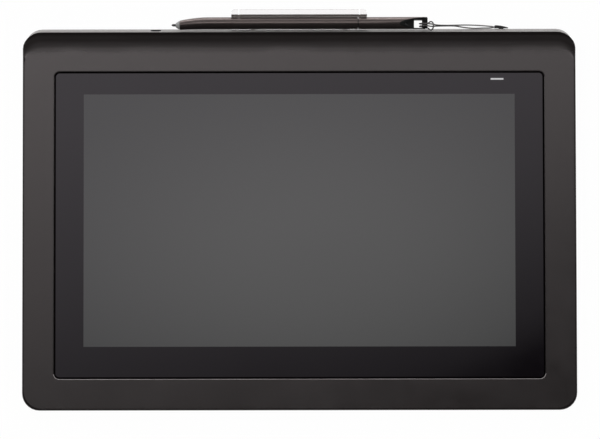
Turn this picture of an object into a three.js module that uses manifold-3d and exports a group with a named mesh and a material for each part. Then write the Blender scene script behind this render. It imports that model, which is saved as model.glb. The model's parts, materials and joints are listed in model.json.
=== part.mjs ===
// Signature pad: a wedge-shaped pen display in a two-part moulded housing, a clear pen holder on its
// rear wall, and a pen on a short tether. Millimetres, +Z up, +X to the user's right, the user at -Y.
// The origin is on the table, under the middle of the whole product.

import * as THREE from 'three';
import { mergeVertices } from 'three/addons/utils/BufferGeometryUtils.js';
import Module from 'manifold-3d';

const wasm = await Module();
wasm.setup();

const { lerp, degToRad } = THREE.MathUtils;

// Housing, measured on the face: x from its middle, y from its front edge, z down from it is negative
const sideBorder = 17;
const rearBorder = 21.7;
const cornerRadius = 9;
const frontThickness = 10.5;
const rearThickness = 20.772;
const shellWall = 2;
const faceWall = 2.2;
const edgeRadius = 1;
const innerEdgeRadius = 0.8;
const rollLength = 9;
const rollDepth = 5.5;
const skirtDepth = 7.5;
const partingGap = 0.3;
const rebateHeight = 1.2;
const rebateWidth = 0.9;
const fit = 0.3;
const overrun = 1;

// Rear shell
const floorWall = 2;
const sideDraft = 0.4;
const bottomRadius = 1.5;
const rearBottomRadius = 3;
const innerBottomRadius = 0.8;
const wallArcRadius = 15;
const wallLeanDegrees = 34;

// Cover glass and its recess
const glassFront = 16.9;
const glassSideMargin = 11.5;
const glassEndMargin = 9.7;
const glassThickness = 1.6;
const glassInset = 0.2;
const glassCorner = 2.2;
const glassGap = 0.6;
const glassChamfer = 0.25;
const recessEdge = 0.4;
const tapeThickness = 0.3;
const tapeWidth = 3;
const ledgeWidth = 4;
const ledgeThickness = 1.2;
const ledgeCorner = 1;
const recessWall = 2;

// Display stack under the glass
const displayShift = 2.6;
const panelWidth = 229;
const panelLength = 138;
const panelThickness = 1.3;
const trayWall = 1;
const trayFloor = 2.6;
const sensorSideMargin = 5.5;
const sensorEndMargin = 5;
const sensorThickness = 0.5;
const sheetCorner = 1;
const shieldSideMargin = 13.5;
const shieldEndMargin = 9;
const shieldThickness = 0.6;

// Ribbon from the panel to the main board, folded down behind the display stack
const ribbonBayGap = 1;
const ribbonWidth = 18;
const ribbonThickness = 0.3;
const ribbonBendRadius = 0.8;
const ribbonLap = 12.4;

// Main board and what it carries
const boardRibbonReach = 18;
const boardWidth = 92;
const boardLength = 42;
const boardThickness = 1.2;
const boardDrop = 2.2;
const canSize = 24;
const canHeight = 1.6;
const canWall = 0.3;
const chipSize = 15;
const chipThickness = 0.9;
const canRibbonReach = 26;
const canReach = 18.3;
const linkInset = 13;
const linkReach = 12.3;
const linkWidth = 14;
const linkLength = 4;

// Cable bay in the underside and the two sockets that open into it
const bayLugReach = 27.9;
const bayWidth = 44;
const bayReach = 28;
const bayRearWall = 3;
const bayRoof = 1.8;
const bayWall = 2;
const bayExitDrop = 4.6;
const bayExitMargin = 4;
const socketSpacing = 20;
const socketLength = 14;
const dataSocketWidth = 9;
const dataSocketHeight = 3.3;
const socketShell = 0.4;
const dataTongueThickness = 0.7;
const powerSocketWidth = 8;
const powerSocketHeight = 4.4;
const powerBoreRadius = 1.6;
const powerPinRadius = 0.5;
const socketBoreDepth = 9;

// Lit indicator at the glass's top right corner
const indicatorSideInset = 24;
const indicatorRearInset = 3.6;
const guideWidth = 7;
const guideLength = 1.2;
const lampBoardWidth = 13;
const lampBoardLength = 5;
const lampBoardThickness = 0.8;

// Lock slot in the rear wall and the steel plate behind it
const lockSideInset = 68.4;
const lockLeanDegrees = 22;
const lockSlotWidth = 5.6;
const lockSlotHeight = 3;
const lockPlateWidth = 15;
const lockPlateHeight = 7;
const lockPlateThickness = 1;

// Rubber feet
const footRadius = 6;
const footHeight = 2;
const footStand = 1.5;
const footChamfer = 0.4;
const footSideInset = 25;
const footFront = 24;
const footRearInset = 20;

// Screws: head radius, head thickness, shank radius and length of each size
const housingScrew = { head: 2.6, cap: 1.6, shank: 1.25, length: 5.6 };
const boardScrew = { head: 1.8, cap: 1, shank: 0.8, length: 4.2 };
const holderScrew = { head: 1.6, cap: 1.1, shank: 0.9, length: 4.6 };
const screwInset = 8.5;
const bossWall = 1.5;
const headRecess = 2.2;
const seatWall = 1.2;
const headCrownShare = 0.8;
const holeSlack = 0.3;
const boardScrewInset = 3.4;
const plateScrewInset = 24;
const ribThickness = 1.2;
const ribHeight = 1.2;
const ribFront = 30;
const ribSpacing = 38;

// Pen
const penRadius = 3.15;
const penWall = 0.7;
const penDepth = 6.5;
const penTipX = -66.2;
const noseFrontX = -64.1;
const barrelFrontX = -61.9;
const taperEndX = -47;
const barrelJointX = 30.5;
const barrelJointGap = 0.3;
const penTailX = 66.8;
const tailRound = 0.4;
const nibRadius = 0.65;
const nibRodRadius = 0.5;
const nibRodLength = 24;
const nibTravel = 0.3;
const noseTipRadius = 1.05;
const noseRearRadius = 2.3;
const noseBulge = 0.1;
const barrelFrontRadius = 2.45;
const noseOffset = 1;
const spigotLength = 5;
const spigotWall = 0.6;
const scoopStartX = 52;
const scoopDegrees = 11.3;
const scoopTiltDegrees = 11.3;
const scoopStep = 1;
const windowStartX = 59.7;
const windowLength = 4.2;
const windowWidth = 4.1;
const windowOffset = -0.55;
const plugLength = 14;
const tailCapLength = 0.8;
const coilFrontX = -54;
const coilLength = 12;
const coilRadius = 1.35;
const coilWall = 0.45;
const pressureLength = 4;
const pressureRadius = 1.3;
const penBoardFrontX = -32;
const penBoardLength = 44;
const penBoardWidth = 4.2;
const penBoardThickness = 0.8;
const penClearance = 0.25;

// Clear pen holder
const holderLength = 70.4;
const holderWall = 1;
const holderMouthDegrees = 172;
const holderRise = 2.4;
const lipReach = 3.5;
const lipRise = 0.5;
const lipCorner = 2;
const fingerLength = 3.9;
const slitWidth = 0.7;
const flangeStartDegrees = 4;
const flangeFoot = 1.6;
const holderScrewX = 24;

// Tether lug
const lugDistance = 35.1;
const lugLength = 7.2;
const lugHeight = 3.4;
const lugRise = 1.5;
const lugTail = 0.3;
const lugRound = 0.6;
const lugLeanDegrees = 3;
const lugStemRadius = 1.3;
const lugBarbRadius = 2;
const lugBarbThickness = 1;

// Tether cord: one cord from the lug, hitched round the pen's crossbar and back to the lug
const cordDiameter = 0.7;
const cordSides = 8;
const cordSteps = 80;

// How finely round forms are divided
const cornerSteps = 7;
const rollSteps = 5;
const wallSteps = 4;
const roundSides = 20;
const screwSides = 12;
const arcSteps = 10;

// Values that follow from those above
const wallLean = degToRad(wallLeanDegrees);
const glassWidth = panelWidth + 2 * glassSideMargin;
const glassLength = panelLength + 2 * glassEndMargin;
const sensorWidth = panelWidth + 2 * sensorSideMargin;
const sensorLength = panelLength + 2 * sensorEndMargin;
const shieldWidth = panelWidth + 2 * shieldSideMargin;
const shieldLength = panelLength + 2 * shieldEndMargin;
const displayCentre = glassFront + glassLength / 2 + displayShift;
const housingWidth = glassWidth + 2 * sideBorder;
const housingLength = glassFront + glassLength + rearBorder;
const faceTilt = Math.atan((rearThickness - frontThickness) / housingLength);
const rimDepth = skirtDepth + partingGap;
const arcCentreY = housingLength - wallArcRadius * Math.cos(wallLean);
const arcCentreDepth = rimDepth + wallArcRadius * Math.sin(wallLean);
const ledgeDepth = glassInset + glassThickness + fit + tapeThickness + fit;
const ledgeFloor = ledgeDepth + ledgeThickness;
const panelDepth = glassInset + glassThickness + fit;
const trayDepth = panelDepth + panelThickness + fit;
const sensorDepth = trayDepth + trayFloor + fit;
const shieldDepth = sensorDepth + sensorThickness + fit;
const shieldFloor = shieldDepth + shieldThickness;
const boardDepth = shieldFloor + boardDrop;
const boardFloor = boardDepth + boardThickness;
const lugX = penTailX + lugDistance;
const bayCentreX = lugX - bayLugReach;
const bayFront = housingLength - bayReach;
const ribbonX = bayCentreX - bayWidth / 2 - bayWall - ribbonBayGap - ribbonWidth / 2;
const boardCentreX = ribbonX - boardRibbonReach + boardWidth / 2;
const boardRear = bayFront - bayWall - fit;
const boardFront = boardRear - boardLength;
const canX = ribbonX + canRibbonReach;
const canY = boardFront + canReach;
const linkX = boardCentreX + boardWidth / 2 - linkInset;
const linkY = boardFront + linkReach;
const indicatorX = glassWidth / 2 - indicatorSideInset;
const indicatorY = glassFront + glassLength - indicatorRearInset;
const lockX = lockSideInset - housingWidth / 2;
const bayRoofDepth = shieldFloor + fit;
const bayDepth = bayRoofDepth + bayRoof;
const holderInnerRadius = penRadius + penClearance;
const holderOuterRadius = holderInnerRadius + holderWall;
const penReach = wallArcRadius + fit + holderOuterRadius;
const penLean = Math.asin((arcCentreDepth - penDepth) / penReach);
const penY = arcCentreY + penReach * Math.cos(penLean);
const holderHeadRadius = wallArcRadius + fit + holderWall + fit;

// Solids from three.js geometries, and back

function solid(geometry) {
  const bare = geometry.clone();
  bare.deleteAttribute('normal');
  bare.deleteAttribute('uv');
  const merged = mergeVertices(bare);
  const corners = Array.from(merged.index.array);
  const triangles = [];
  for (let i = 0; i < corners.length; i += 3) {
    const [a, b, c] = corners.slice(i, i + 3);
    if (a !== b && b !== c && c !== a) {
      triangles.push(a, b, c);
    }
  }
  return new wasm.Manifold(new wasm.Mesh({
    numProp: 3,
    vertProperties: new Float32Array(merged.attributes.position.array),
    triVerts: new Uint32Array(triangles),
  }));
}

function geometryOf(body) {
  const mesh = body.getMesh();
  const geometry = new THREE.BufferGeometry();
  geometry.setAttribute('position', new THREE.BufferAttribute(mesh.vertProperties, 3));
  geometry.setIndex(new THREE.BufferAttribute(mesh.triVerts, 1));
  return geometry;
}

function place(geometry, x, y, z) {
  geometry.translate(x, y, z);
  return geometry;
}

// A rounded rectangle as a ring of points, the same number on each, so that any two can be skinned.
// Each point also tells how far round it is towards the rear edge: 0 on the front and sides, 1 on the rear.
function outline(halfWidth, front, rear, radius) {
  const corners = [
    { x: halfWidth - radius, y: front + radius, turn: -Math.PI / 2 },
    { x: halfWidth - radius, y: rear - radius, turn: 0 },
    { x: -halfWidth + radius, y: rear - radius, turn: Math.PI / 2 },
    { x: -halfWidth + radius, y: front + radius, turn: Math.PI },
  ];
  return corners.flatMap((corner) => {
    const points = [];
    for (let step = 0; step <= cornerSteps; step += 1) {
      const angle = corner.turn + (Math.PI / 2) * (step / cornerSteps);
      const rearward = Math.max(0, Math.sin(angle));
      points.push({
        x: corner.x + radius * Math.cos(angle),
        y: corner.y + radius * Math.sin(angle),
        rearward: corner.y > (front + rear) / 2 ? rearward * rearward * (3 - 2 * rearward) : 0,
      });
    }
    return points;
  });
}

// A ring at a depth below the face, which may differ from point to point
function ring(points, depthAt) {
  return points.map((point) => new THREE.Vector3(point.x, point.y, -depthAt(point)));
}

function flatRing(points, depth) {
  return ring(points, () => depth);
}

// The skin through a run of rings. A closed run joins its last ring to its first, an open one gets flat ends.
function loft(rings, closed) {
  const count = rings[0].length;
  const index = [];
  const spans = closed ? rings.length : rings.length - 1;
  for (let span = 0; span < spans; span += 1) {
    const here = span * count;
    const next = ((span + 1) % rings.length) * count;
    for (let i = 0; i < count; i += 1) {
      const j = (i + 1) % count;
      index.push(here + i, here + j, next + j);
      index.push(here + i, next + j, next + i);
    }
  }
  if (!closed) {
    const last = (rings.length - 1) * count;
    for (let i = 1; i < count - 1; i += 1) {
      index.push(0, i + 1, i);
      index.push(last, last + i, last + i + 1);
    }
  }
  const geometry = new THREE.BufferGeometry();
  geometry.setAttribute('position', new THREE.Float32BufferAttribute(
    rings.flat().flatMap((point) => point.toArray()), 3));
  geometry.setIndex(index);
  return facingOut(geometry);
}

// The same skin with its triangles facing outwards
function facingOut(geometry) {
  const { position } = geometry.attributes;
  const index = geometry.index.array;
  const [a, b, c] = [new THREE.Vector3(), new THREE.Vector3(), new THREE.Vector3()];
  let volume = 0;
  for (let i = 0; i < index.length; i += 3) {
    a.fromBufferAttribute(position, index[i]);
    b.fromBufferAttribute(position, index[i + 1]);
    c.fromBufferAttribute(position, index[i + 2]);
    volume += a.dot(b.cross(c));
  }
  if (volume < 0) {
    geometry.setIndex(Array.from(index).reverse());
  }
  return geometry;
}

// A flat plate with rounded corners between two depths below the face
function plate(width, length, radius, centreX, centreY, top, bottom) {
  const points = outline(width / 2, -length / 2, length / 2, radius);
  const shape = new THREE.Shape(points.map((point) => new THREE.Vector2(point.x, point.y)));
  const geometry = new THREE.ExtrudeGeometry(shape, { depth: bottom - top, bevelEnabled: false });
  return place(geometry, centreX, centreY, -bottom);
}

function block(width, length, centreX, centreY, top, bottom) {
  return place(new THREE.BoxGeometry(width, length, bottom - top), centreX, centreY, -(top + bottom) / 2);
}

// An upright cylinder between two depths below the face
function post(radius, x, y, top, bottom, sides = screwSides) {
  const geometry = new THREE.CylinderGeometry(radius, radius, bottom - top, sides);
  geometry.rotateX(Math.PI / 2);
  return place(geometry, x, y, -(top + bottom) / 2);
}

// A profile of radius and height, turned about an upright axis
function lathed(profile, sides) {
  const geometry = new THREE.LatheGeometry(profile, sides);
  geometry.rotateX(Math.PI / 2);
  geometry.deleteAttribute('normal');
  geometry.deleteAttribute('uv');
  return solid(facingOut(mergeVertices(geometry)));
}

// A profile in the side plane, drawn as y and z, extruded along x about a middle
function sideExtrusion(shape, length, centreX, curveSegments = arcSteps) {
  const geometry = new THREE.ExtrudeGeometry(shape, { depth: length, bevelEnabled: false, curveSegments });
  geometry.rotateY(Math.PI / 2);
  geometry.rotateX(Math.PI / 2);
  return place(geometry, centreX - length / 2, 0, 0);
}

function joined(first, ...others) {
  return others.reduce((whole, other) => whole.add(solid(other)), solid(first));
}

function cut(body, ...tools) {
  return tools.reduce((whole, tool) => whole.subtract(solid(tool)), body);
}

function mirrored(x, yList) {
  return yList.flatMap((y) => [{ x: -x, y }, { x, y }]);
}

// Depth of the underside below the face: the face slopes up towards the rear and the underside is level
function undersideDepth(y) {
  return frontThickness + y * Math.tan(faceTilt);
}

// A geometry modelled level at the origin, moved to the underside and turned level with the table
function onUnderside(geometry, x, y) {
  geometry.rotateX(-faceTilt);
  return place(geometry, x, y, -undersideDepth(y));
}

// A geometry modelled with +z pointing out of the rear wall, moved to a lean and a radius of the wall's arc
function onRearArc(geometry, x, lean, radius) {
  geometry.rotateX(lean - Math.PI / 2);
  return place(geometry, x, arcCentreY + radius * Math.cos(lean), radius * Math.sin(lean) - arcCentreDepth);
}

// Housing

// The rear wall leans out below the parting line, curves upright and then drops straight to its bottom round
function rearWallY(depth, inset) {
  const radius = wallArcRadius - inset;
  const uprightDepth = arcCentreDepth + radius * Math.sin(faceTilt);
  if (depth < uprightDepth) {
    return arcCentreY + Math.sqrt(radius ** 2 - (arcCentreDepth - depth) ** 2);
  }
  return arcCentreY + radius * Math.cos(faceTilt) - (depth - uprightDepth) * Math.tan(faceTilt);
}

function housingOutline(inset) {
  return outline(housingWidth / 2 - inset, inset, housingLength - inset, cornerRadius - inset);
}

function recessOutline(grow, radius) {
  return outline(
    glassWidth / 2 + glassGap + grow,
    glassFront - glassGap - grow,
    glassFront + glassLength + glassGap + grow,
    radius,
  );
}

// One ring of the face's edge, from flat face at turn 0 to upright at turn 1. The edge is a small round on
// the front and sides and a long roll at the rear, and the corners blend the two.
function edgeRing(turn, inset, topDepth, sideRound, rearLength, rearDrop) {
  const angle = (Math.PI / 2) * turn;
  const inwards = 1 - Math.sin(angle);
  const downwards = 1 - Math.cos(angle);
  const sideInset = inset + sideRound * inwards;
  const points = outline(
    housingWidth / 2 - sideInset,
    sideInset,
    housingLength - inset - rearLength * inwards,
    cornerRadius - inset,
  );
  return ring(points, (point) => topDepth + lerp(sideRound, rearDrop, point.rearward) * downwards);
}

function housingScrewPlaces() {
  const x = housingWidth / 2 - screwInset;
  const rear = housingLength - rollLength - bossRadius(housingScrew);
  return [...mirrored(x, [screwInset, rear]), { x: 0, y: screwInset }, { x: 0, y: rear }];
}

function bossRadius(screw) {
  return screw.shank + holeSlack + bossWall;
}

function seatDepth(y) {
  return undersideDepth(y) - headRecess;
}

function plateScrewPlaces() {
  const x = glassWidth / 2 + glassGap - ledgeWidth / 2 + recessWall / 2;
  const reach = shieldLength / 2 - plateScrewInset;
  return mirrored(x, [displayCentre - reach, displayCentre + reach]);
}

function boardScrewPlaces() {
  const reach = boardWidth / 2 - boardScrewInset;
  return [boardFront + boardScrewInset, boardRear - boardScrewInset].flatMap((y) => [
    { x: boardCentreX - reach, y },
    { x: boardCentreX + reach, y },
  ]);
}

function frontBezel() {
  const rings = [];
  for (let step = 0; step <= rollSteps; step += 1) {
    rings.push(edgeRing(step / rollSteps, 0, 0, edgeRadius, rollLength, rollDepth));
  }
  rings.push(flatRing(housingOutline(0), skirtDepth));
  rings.push(flatRing(housingOutline(rebateWidth), skirtDepth));
  rings.push(flatRing(housingOutline(rebateWidth), skirtDepth - rebateHeight));
  rings.push(flatRing(housingOutline(shellWall), skirtDepth - rebateHeight));
  for (let step = rollSteps; step >= 0; step -= 1) {
    rings.push(edgeRing(
      step / rollSteps, shellWall, faceWall, innerEdgeRadius, rollLength - shellWall, rollDepth - faceWall));
  }
  const corner = glassCorner + glassGap;
  rings.push(flatRing(recessOutline(recessWall, corner + recessWall), faceWall));
  rings.push(flatRing(recessOutline(recessWall, corner + recessWall), ledgeFloor));
  rings.push(flatRing(recessOutline(-ledgeWidth, ledgeCorner), ledgeFloor));
  rings.push(flatRing(recessOutline(-ledgeWidth, ledgeCorner), ledgeDepth));
  rings.push(flatRing(recessOutline(0, corner), ledgeDepth));
  rings.push(flatRing(recessOutline(0, corner), recessEdge));
  rings.push(flatRing(recessOutline(recessEdge, corner + recessEdge), 0));
  const shellPosts = housingScrewPlaces().map(({ x, y }) => (
    post(bossRadius(housingScrew), x, y, faceWall / 2, seatDepth(y) - seatWall - fit)));
  const platePosts = plateScrewPlaces().map(({ x, y }) => (
    post(bossRadius(boardScrew), x, y, (ledgeDepth + ledgeFloor) / 2, shieldDepth - fit)));
  const shellHoles = housingScrewPlaces().map(({ x, y }) => post(
    housingScrew.shank + holeSlack, x, y, seatDepth(y) - housingScrew.length - fit, seatDepth(y)));
  const plateHoles = plateScrewPlaces().map(({ x, y }) => post(
    boardScrew.shank + holeSlack, x, y, shieldFloor + fit - boardScrew.length - fit, shieldDepth));
  return cut(
    joined(loft(rings, true), ...shellPosts, ...platePosts),
    ...shellHoles,
    ...plateHoles,
    block(
      guideWidth + 2 * fit, guideLength + 2 * fit, indicatorX, indicatorY,
      ledgeDepth - fit, ledgeFloor + fit),
  );
}

// The space inside the rear shell, from above its rim to its floor
function rearCavity() {
  const rings = [flatRing(housingOutline(shellWall), skirtDepth - rebateHeight - overrun)];
  const lowest = undersideDepth(housingLength) - floorWall - innerBottomRadius;
  for (let step = 0; step <= wallSteps; step += 1) {
    const share = step / wallSteps;
    const inset = shellWall + sideDraft * share;
    const rear = rearWallY(lerp(rimDepth, lowest, share), shellWall);
    rings.push(ring(
      outline(housingWidth / 2 - inset, inset, rear, cornerRadius - shellWall),
      (point) => lerp(rimDepth, undersideDepth(point.y) - floorWall - innerBottomRadius, share),
    ));
  }
  const floorInset = shellWall + sideDraft + innerBottomRadius;
  const rear = rearWallY(undersideDepth(housingLength) - floorWall, shellWall) - innerBottomRadius;
  rings.push(ring(
    outline(housingWidth / 2 - floorInset, floorInset, rear, cornerRadius - shellWall),
    (point) => undersideDepth(point.y) - floorWall,
  ));
  return loft(rings, false);
}

// The rear shell as if it were solid, with the tongue that locates it inside the front shell's rebate
function rearForm() {
  const tongueInset = rebateWidth + fit;
  const rings = [
    flatRing(housingOutline(tongueInset), skirtDepth - rebateHeight + fit),
    flatRing(housingOutline(tongueInset), rimDepth),
  ];
  const lowest = undersideDepth(housingLength) - rearBottomRadius;
  for (let step = 0; step <= 2 * wallSteps; step += 1) {
    const share = step / (2 * wallSteps);
    const inset = sideDraft * share;
    rings.push(ring(
      outline(housingWidth / 2 - inset, inset, rearWallY(lerp(rimDepth, lowest, share), 0), cornerRadius),
      (point) => lerp(rimDepth, undersideDepth(point.y) - roundAt(point), share),
    ));
  }
  for (let step = 1; step <= wallSteps; step += 1) {
    const angle = (Math.PI / 2) * (step / wallSteps);
    const inwards = 1 - Math.cos(angle);
    const inset = sideDraft + bottomRadius * inwards;
    const rear = rearWallY(lowest, 0) - rearBottomRadius * inwards;
    rings.push(ring(
      outline(housingWidth / 2 - inset, inset, rear, cornerRadius),
      (point) => undersideDepth(point.y) - roundAt(point) * (1 - Math.sin(angle)),
    ));
  }
  return loft(rings, false);
}

function roundAt(point) {
  return lerp(bottomRadius, rearBottomRadius, point.rearward);
}

function lockSlot(depth) {
  const half = (lockSlotWidth - lockSlotHeight) / 2;
  const radius = lockSlotHeight / 2;
  const shape = new THREE.Shape();
  shape.absarc(half, 0, radius, -Math.PI / 2, Math.PI / 2, false);
  shape.absarc(-half, 0, radius, Math.PI / 2, (3 * Math.PI) / 2, false);
  const options = { depth, bevelEnabled: false, curveSegments: cornerSteps };
  return place(new THREE.ExtrudeGeometry(shape, options), 0, 0, -depth / 2);
}

// A cylinder through the rear wall, square to it, between two distances from the centre of the wall's arc
function wallPost(radius, x, lean, inner, outer) {
  const geometry = new THREE.CylinderGeometry(radius, radius, outer - inner, screwSides);
  geometry.rotateX(Math.PI / 2);
  return onRearArc(geometry, x, lean, (inner + outer) / 2);
}

// The holder's screws sit one head radius above the lower edge of its flange
function holderScrewLean() {
  return Math.atan((holderScrew.head - flangeFoot) / wallArcRadius);
}

function rearCover() {
  const form = solid(rearForm());
  const bayLeft = bayCentreX - bayWidth / 2;
  const bayRear = rearWallY(bayDepth, 0) - bayRearWall;
  const deepest = undersideDepth(housingLength) + overrun;
  const ribs = [];
  const ribRear = boardFront - boardScrewInset;
  const ribCount = Math.floor((housingWidth / 2 - screwInset) / ribSpacing);
  for (let rib = -ribCount; rib <= ribCount; rib += 1) {
    const bar = new THREE.BoxGeometry(ribThickness, ribRear - ribFront, ribHeight + floorWall);
    const middle = (ribFront + ribRear) / 2;
    bar.rotateX(-faceTilt);
    ribs.push(place(bar, rib * ribSpacing, middle, -undersideDepth(middle) + (ribHeight + floorWall) / 2));
  }
  const shellPosts = housingScrewPlaces().map(({ x, y }) => (
    post(bossRadius(housingScrew) + bossWall, x, y, seatDepth(y) - seatWall, deepest)));
  const boardPosts = boardScrewPlaces().map(({ x, y }) => (
    post(bossRadius(boardScrew), x, y, boardFloor + fit, deepest)));
  const wallPosts = [-holderScrewX, holderScrewX].map((x) => wallPost(
    bossRadius(holderScrew), x, holderScrewLean(), wallArcRadius - holderScrew.length, wallArcRadius));
  const bayHousing = block(
    bayWidth + 2 * bayWall, housingLength - bayFront + bayWall, bayCentreX,
    (bayFront - bayWall + housingLength) / 2, bayRoofDepth, deepest);
  const shell = joined(bayHousing, ...ribs, ...shellPosts, ...boardPosts, ...wallPosts).intersect(form)
    .add(form.subtract(solid(rearCavity())));
  const bayMiddle = (bayFront + bayRear) / 2;
  const exitTop = bayDepth + bayExitDrop;
  const footSink = footHeight - footStand + fit;
  return cut(
    shell,
    block(bayWidth, bayRear - bayFront, bayCentreX, bayMiddle, bayDepth, deepest),
    block(bayWidth - 2 * bayExitMargin, 4 * bayRearWall, bayCentreX, bayRear + bayRearWall, exitTop, deepest),
    ...socketPlaces().map(({ x, width, height }) => block(
      width + 2 * fit, 2 * bayWall + overrun, x, bayFront - bayWall,
      boardFloor, boardFloor + fit + height + fit)),
    ...housingScrewPlaces().flatMap(({ x, y }) => [
      post(housingScrew.shank + holeSlack, x, y, seatDepth(y) - seatWall - overrun, seatDepth(y) + overrun),
      post(housingScrew.head + fit, x, y, seatDepth(y), deepest),
    ]),
    ...boardScrewPlaces().map(({ x, y }) => (
      post(boardScrew.shank + holeSlack, x, y, boardFloor, boardDepth + boardScrew.length + fit))),
    ...footPlaces().map(({ x, y }) => onUnderside(
      post(footRadius + fit, 0, 0, -footSink, footSink, roundSides), x, y)),
    ...[-holderScrewX, holderScrewX].map((x) => wallPost(
      holderScrew.shank + holeSlack, x, holderScrewLean(),
      wallArcRadius - holderScrew.length, wallArcRadius + overrun)),
    wallPost(
      lugStemRadius + holeSlack, lugX + lugLength / 2, degToRad(lugLeanDegrees),
      wallArcRadius - 2 * shellWall, wallArcRadius + overrun),
    onRearArc(lockSlot(3 * shellWall), lockX, degToRad(lockLeanDegrees), wallArcRadius),
  );
}

// Glass and the display stack

function coverGlass() {
  const rings = [
    { shrink: glassChamfer, depth: glassInset },
    { shrink: 0, depth: glassInset + glassChamfer },
    { shrink: 0, depth: glassInset + glassThickness - glassChamfer },
    { shrink: glassChamfer, depth: glassInset + glassThickness },
  ].map(({ shrink, depth }) => {
    const front = glassFront + shrink;
    const rear = glassFront + glassLength - shrink;
    return flatRing(outline(glassWidth / 2 - shrink, front, rear, glassCorner - shrink), depth);
  });
  return solid(loft(rings, false));
}

function glassTape() {
  const top = ledgeDepth - fit - tapeThickness;
  const rings = [
    flatRing(recessOutline(-glassGap, glassCorner), top),
    flatRing(recessOutline(-glassGap - tapeWidth, ledgeCorner), top),
    flatRing(recessOutline(-glassGap - tapeWidth, ledgeCorner), top + tapeThickness),
    flatRing(recessOutline(-glassGap, glassCorner), top + tapeThickness),
  ];
  return cut(solid(loft(rings, true)), block(
    guideWidth + 2 * fit, guideLength + 2 * fit, indicatorX, indicatorY, top - fit, ledgeDepth));
}

function lcdPanel() {
  return solid(plate(
    panelWidth, panelLength, sheetCorner, 0, displayCentre, panelDepth, panelDepth + panelThickness));
}

function backlightTray() {
  const reach = 2 * (fit + trayWall);
  const rim = panelDepth + fit;
  const top = rim - overrun;
  const rearY = displayCentre + panelLength / 2 + trayWall;
  const body = solid(plate(
    panelWidth + reach, panelLength + reach, sheetCorner, 0, displayCentre, rim, trayDepth + trayFloor));
  const pocket = plate(
    panelWidth + 2 * fit, panelLength + 2 * fit, sheetCorner, 0, displayCentre, top, trayDepth);
  const notch = block(ribbonWidth + 2 * fit, 4 * trayWall, ribbonX, rearY, top, trayDepth);
  return cut(body, pocket, notch);
}

// The slot that lets the panel's ribbon past the rear edge of a sheet
function ribbonNotch(top, bottom) {
  const middle = ribbonFaceY() - 2 * fit + sensorLength / 2;
  return block(ribbonWidth + 4 * fit, sensorLength, ribbonX, middle, top - fit, bottom + fit);
}

function ribbonFaceY() {
  return displayCentre + panelLength / 2 + fit + trayWall + fit;
}

function penSensorBoard() {
  const bottom = sensorDepth + sensorThickness;
  const sheet = solid(plate(sensorWidth, sensorLength, sheetCorner, 0, displayCentre, sensorDepth, bottom));
  return cut(sheet, ribbonNotch(sensorDepth, bottom));
}

function shieldPlate() {
  const sheet = solid(plate(
    shieldWidth, shieldLength, sheetCorner, 0, displayCentre, shieldDepth, shieldFloor));
  return cut(
    sheet,
    ribbonNotch(shieldDepth, shieldFloor),
    block(linkWidth + 2 * fit, linkLength + 2 * fit, linkX, linkY, shieldDepth - fit, shieldFloor + fit),
    ...plateScrewPlaces().map(({ x, y }) => (
      post(boardScrew.shank + holeSlack, x, y, shieldDepth - fit, shieldFloor + fit))),
  );
}

// The ribbon leaves the panel's rear edge, folds down behind the tray and lies forwards over the main board
function displayCable() {
  const startY = displayCentre + panelLength / 2 + fit;
  const top = -(panelDepth + fit);
  const outerY = ribbonFaceY() + ribbonThickness;
  const bottom = -(boardDepth - fit);
  const bend = ribbonBendRadius;
  const shape = new THREE.Shape();
  shape.moveTo(startY, top);
  shape.lineTo(outerY - bend, top);
  shape.absarc(outerY - bend, top - bend, bend, Math.PI / 2, 0, true);
  shape.lineTo(outerY, bottom + bend);
  shape.absarc(outerY - bend, bottom + bend, bend, 0, -Math.PI / 2, true);
  shape.lineTo(outerY - ribbonLap, bottom);
  shape.lineTo(outerY - ribbonLap, bottom + ribbonThickness);
  shape.lineTo(outerY - bend, bottom + ribbonThickness);
  shape.absarc(outerY - bend, bottom + bend, bend - ribbonThickness, -Math.PI / 2, 0, false);
  shape.lineTo(outerY - ribbonThickness, top - bend);
  shape.absarc(outerY - bend, top - bend, bend - ribbonThickness, 0, Math.PI / 2, false);
  shape.lineTo(startY, top - ribbonThickness);
  return solid(sideExtrusion(shape, ribbonWidth, ribbonX, rollSteps));
}

// Main board and the parts on it

function mainBoard() {
  const board = solid(block(
    boardWidth, boardLength, boardCentreX, boardFront + boardLength / 2, boardDepth, boardFloor));
  return cut(board, ...boardScrewPlaces().map(({ x, y }) => (
    post(boardScrew.shank + holeSlack, x, y, boardDepth - fit, boardFloor + fit))));
}

function processor() {
  return solid(block(chipSize, chipSize, canX, canY, boardDepth - fit - chipThickness, boardDepth - fit));
}

function processorCan() {
  const top = boardDepth - fit - canHeight;
  const inner = canSize - 2 * canWall;
  return cut(
    solid(block(canSize, canSize, canX, canY, top, boardDepth - fit)),
    block(inner, inner, canX, canY, top + canWall, boardDepth),
  );
}

function sensorConnector() {
  return solid(block(linkWidth, linkLength, linkX, linkY, shieldDepth, boardDepth - fit));
}

function socketPlaces() {
  return [
    { x: bayCentreX - socketSpacing / 2, width: powerSocketWidth, height: powerSocketHeight },
    { x: bayCentreX + socketSpacing / 2, width: dataSocketWidth, height: dataSocketHeight },
  ];
}

function socketBlock({ x, width, height }) {
  return solid(block(
    width, socketLength, x, bayFront - socketLength / 2, boardFloor + fit, boardFloor + fit + height));
}

function powerSocket() {
  const [socket] = socketPlaces();
  const depth = boardFloor + fit + socket.height / 2;
  const rod = (radius) => {
    const geometry = new THREE.CylinderGeometry(radius, radius, 2 * socketBoreDepth, screwSides);
    return solid(place(geometry, socket.x, bayFront, -depth));
  };
  const body = socketBlock(socket);
  const pin = solid(block(
    2 * powerPinRadius, socketBoreDepth, socket.x, bayFront - socketBoreDepth / 2 - overrun,
    depth - powerPinRadius, depth + powerPinRadius));
  return body.subtract(rod(powerBoreRadius)).add(pin);
}

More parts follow.
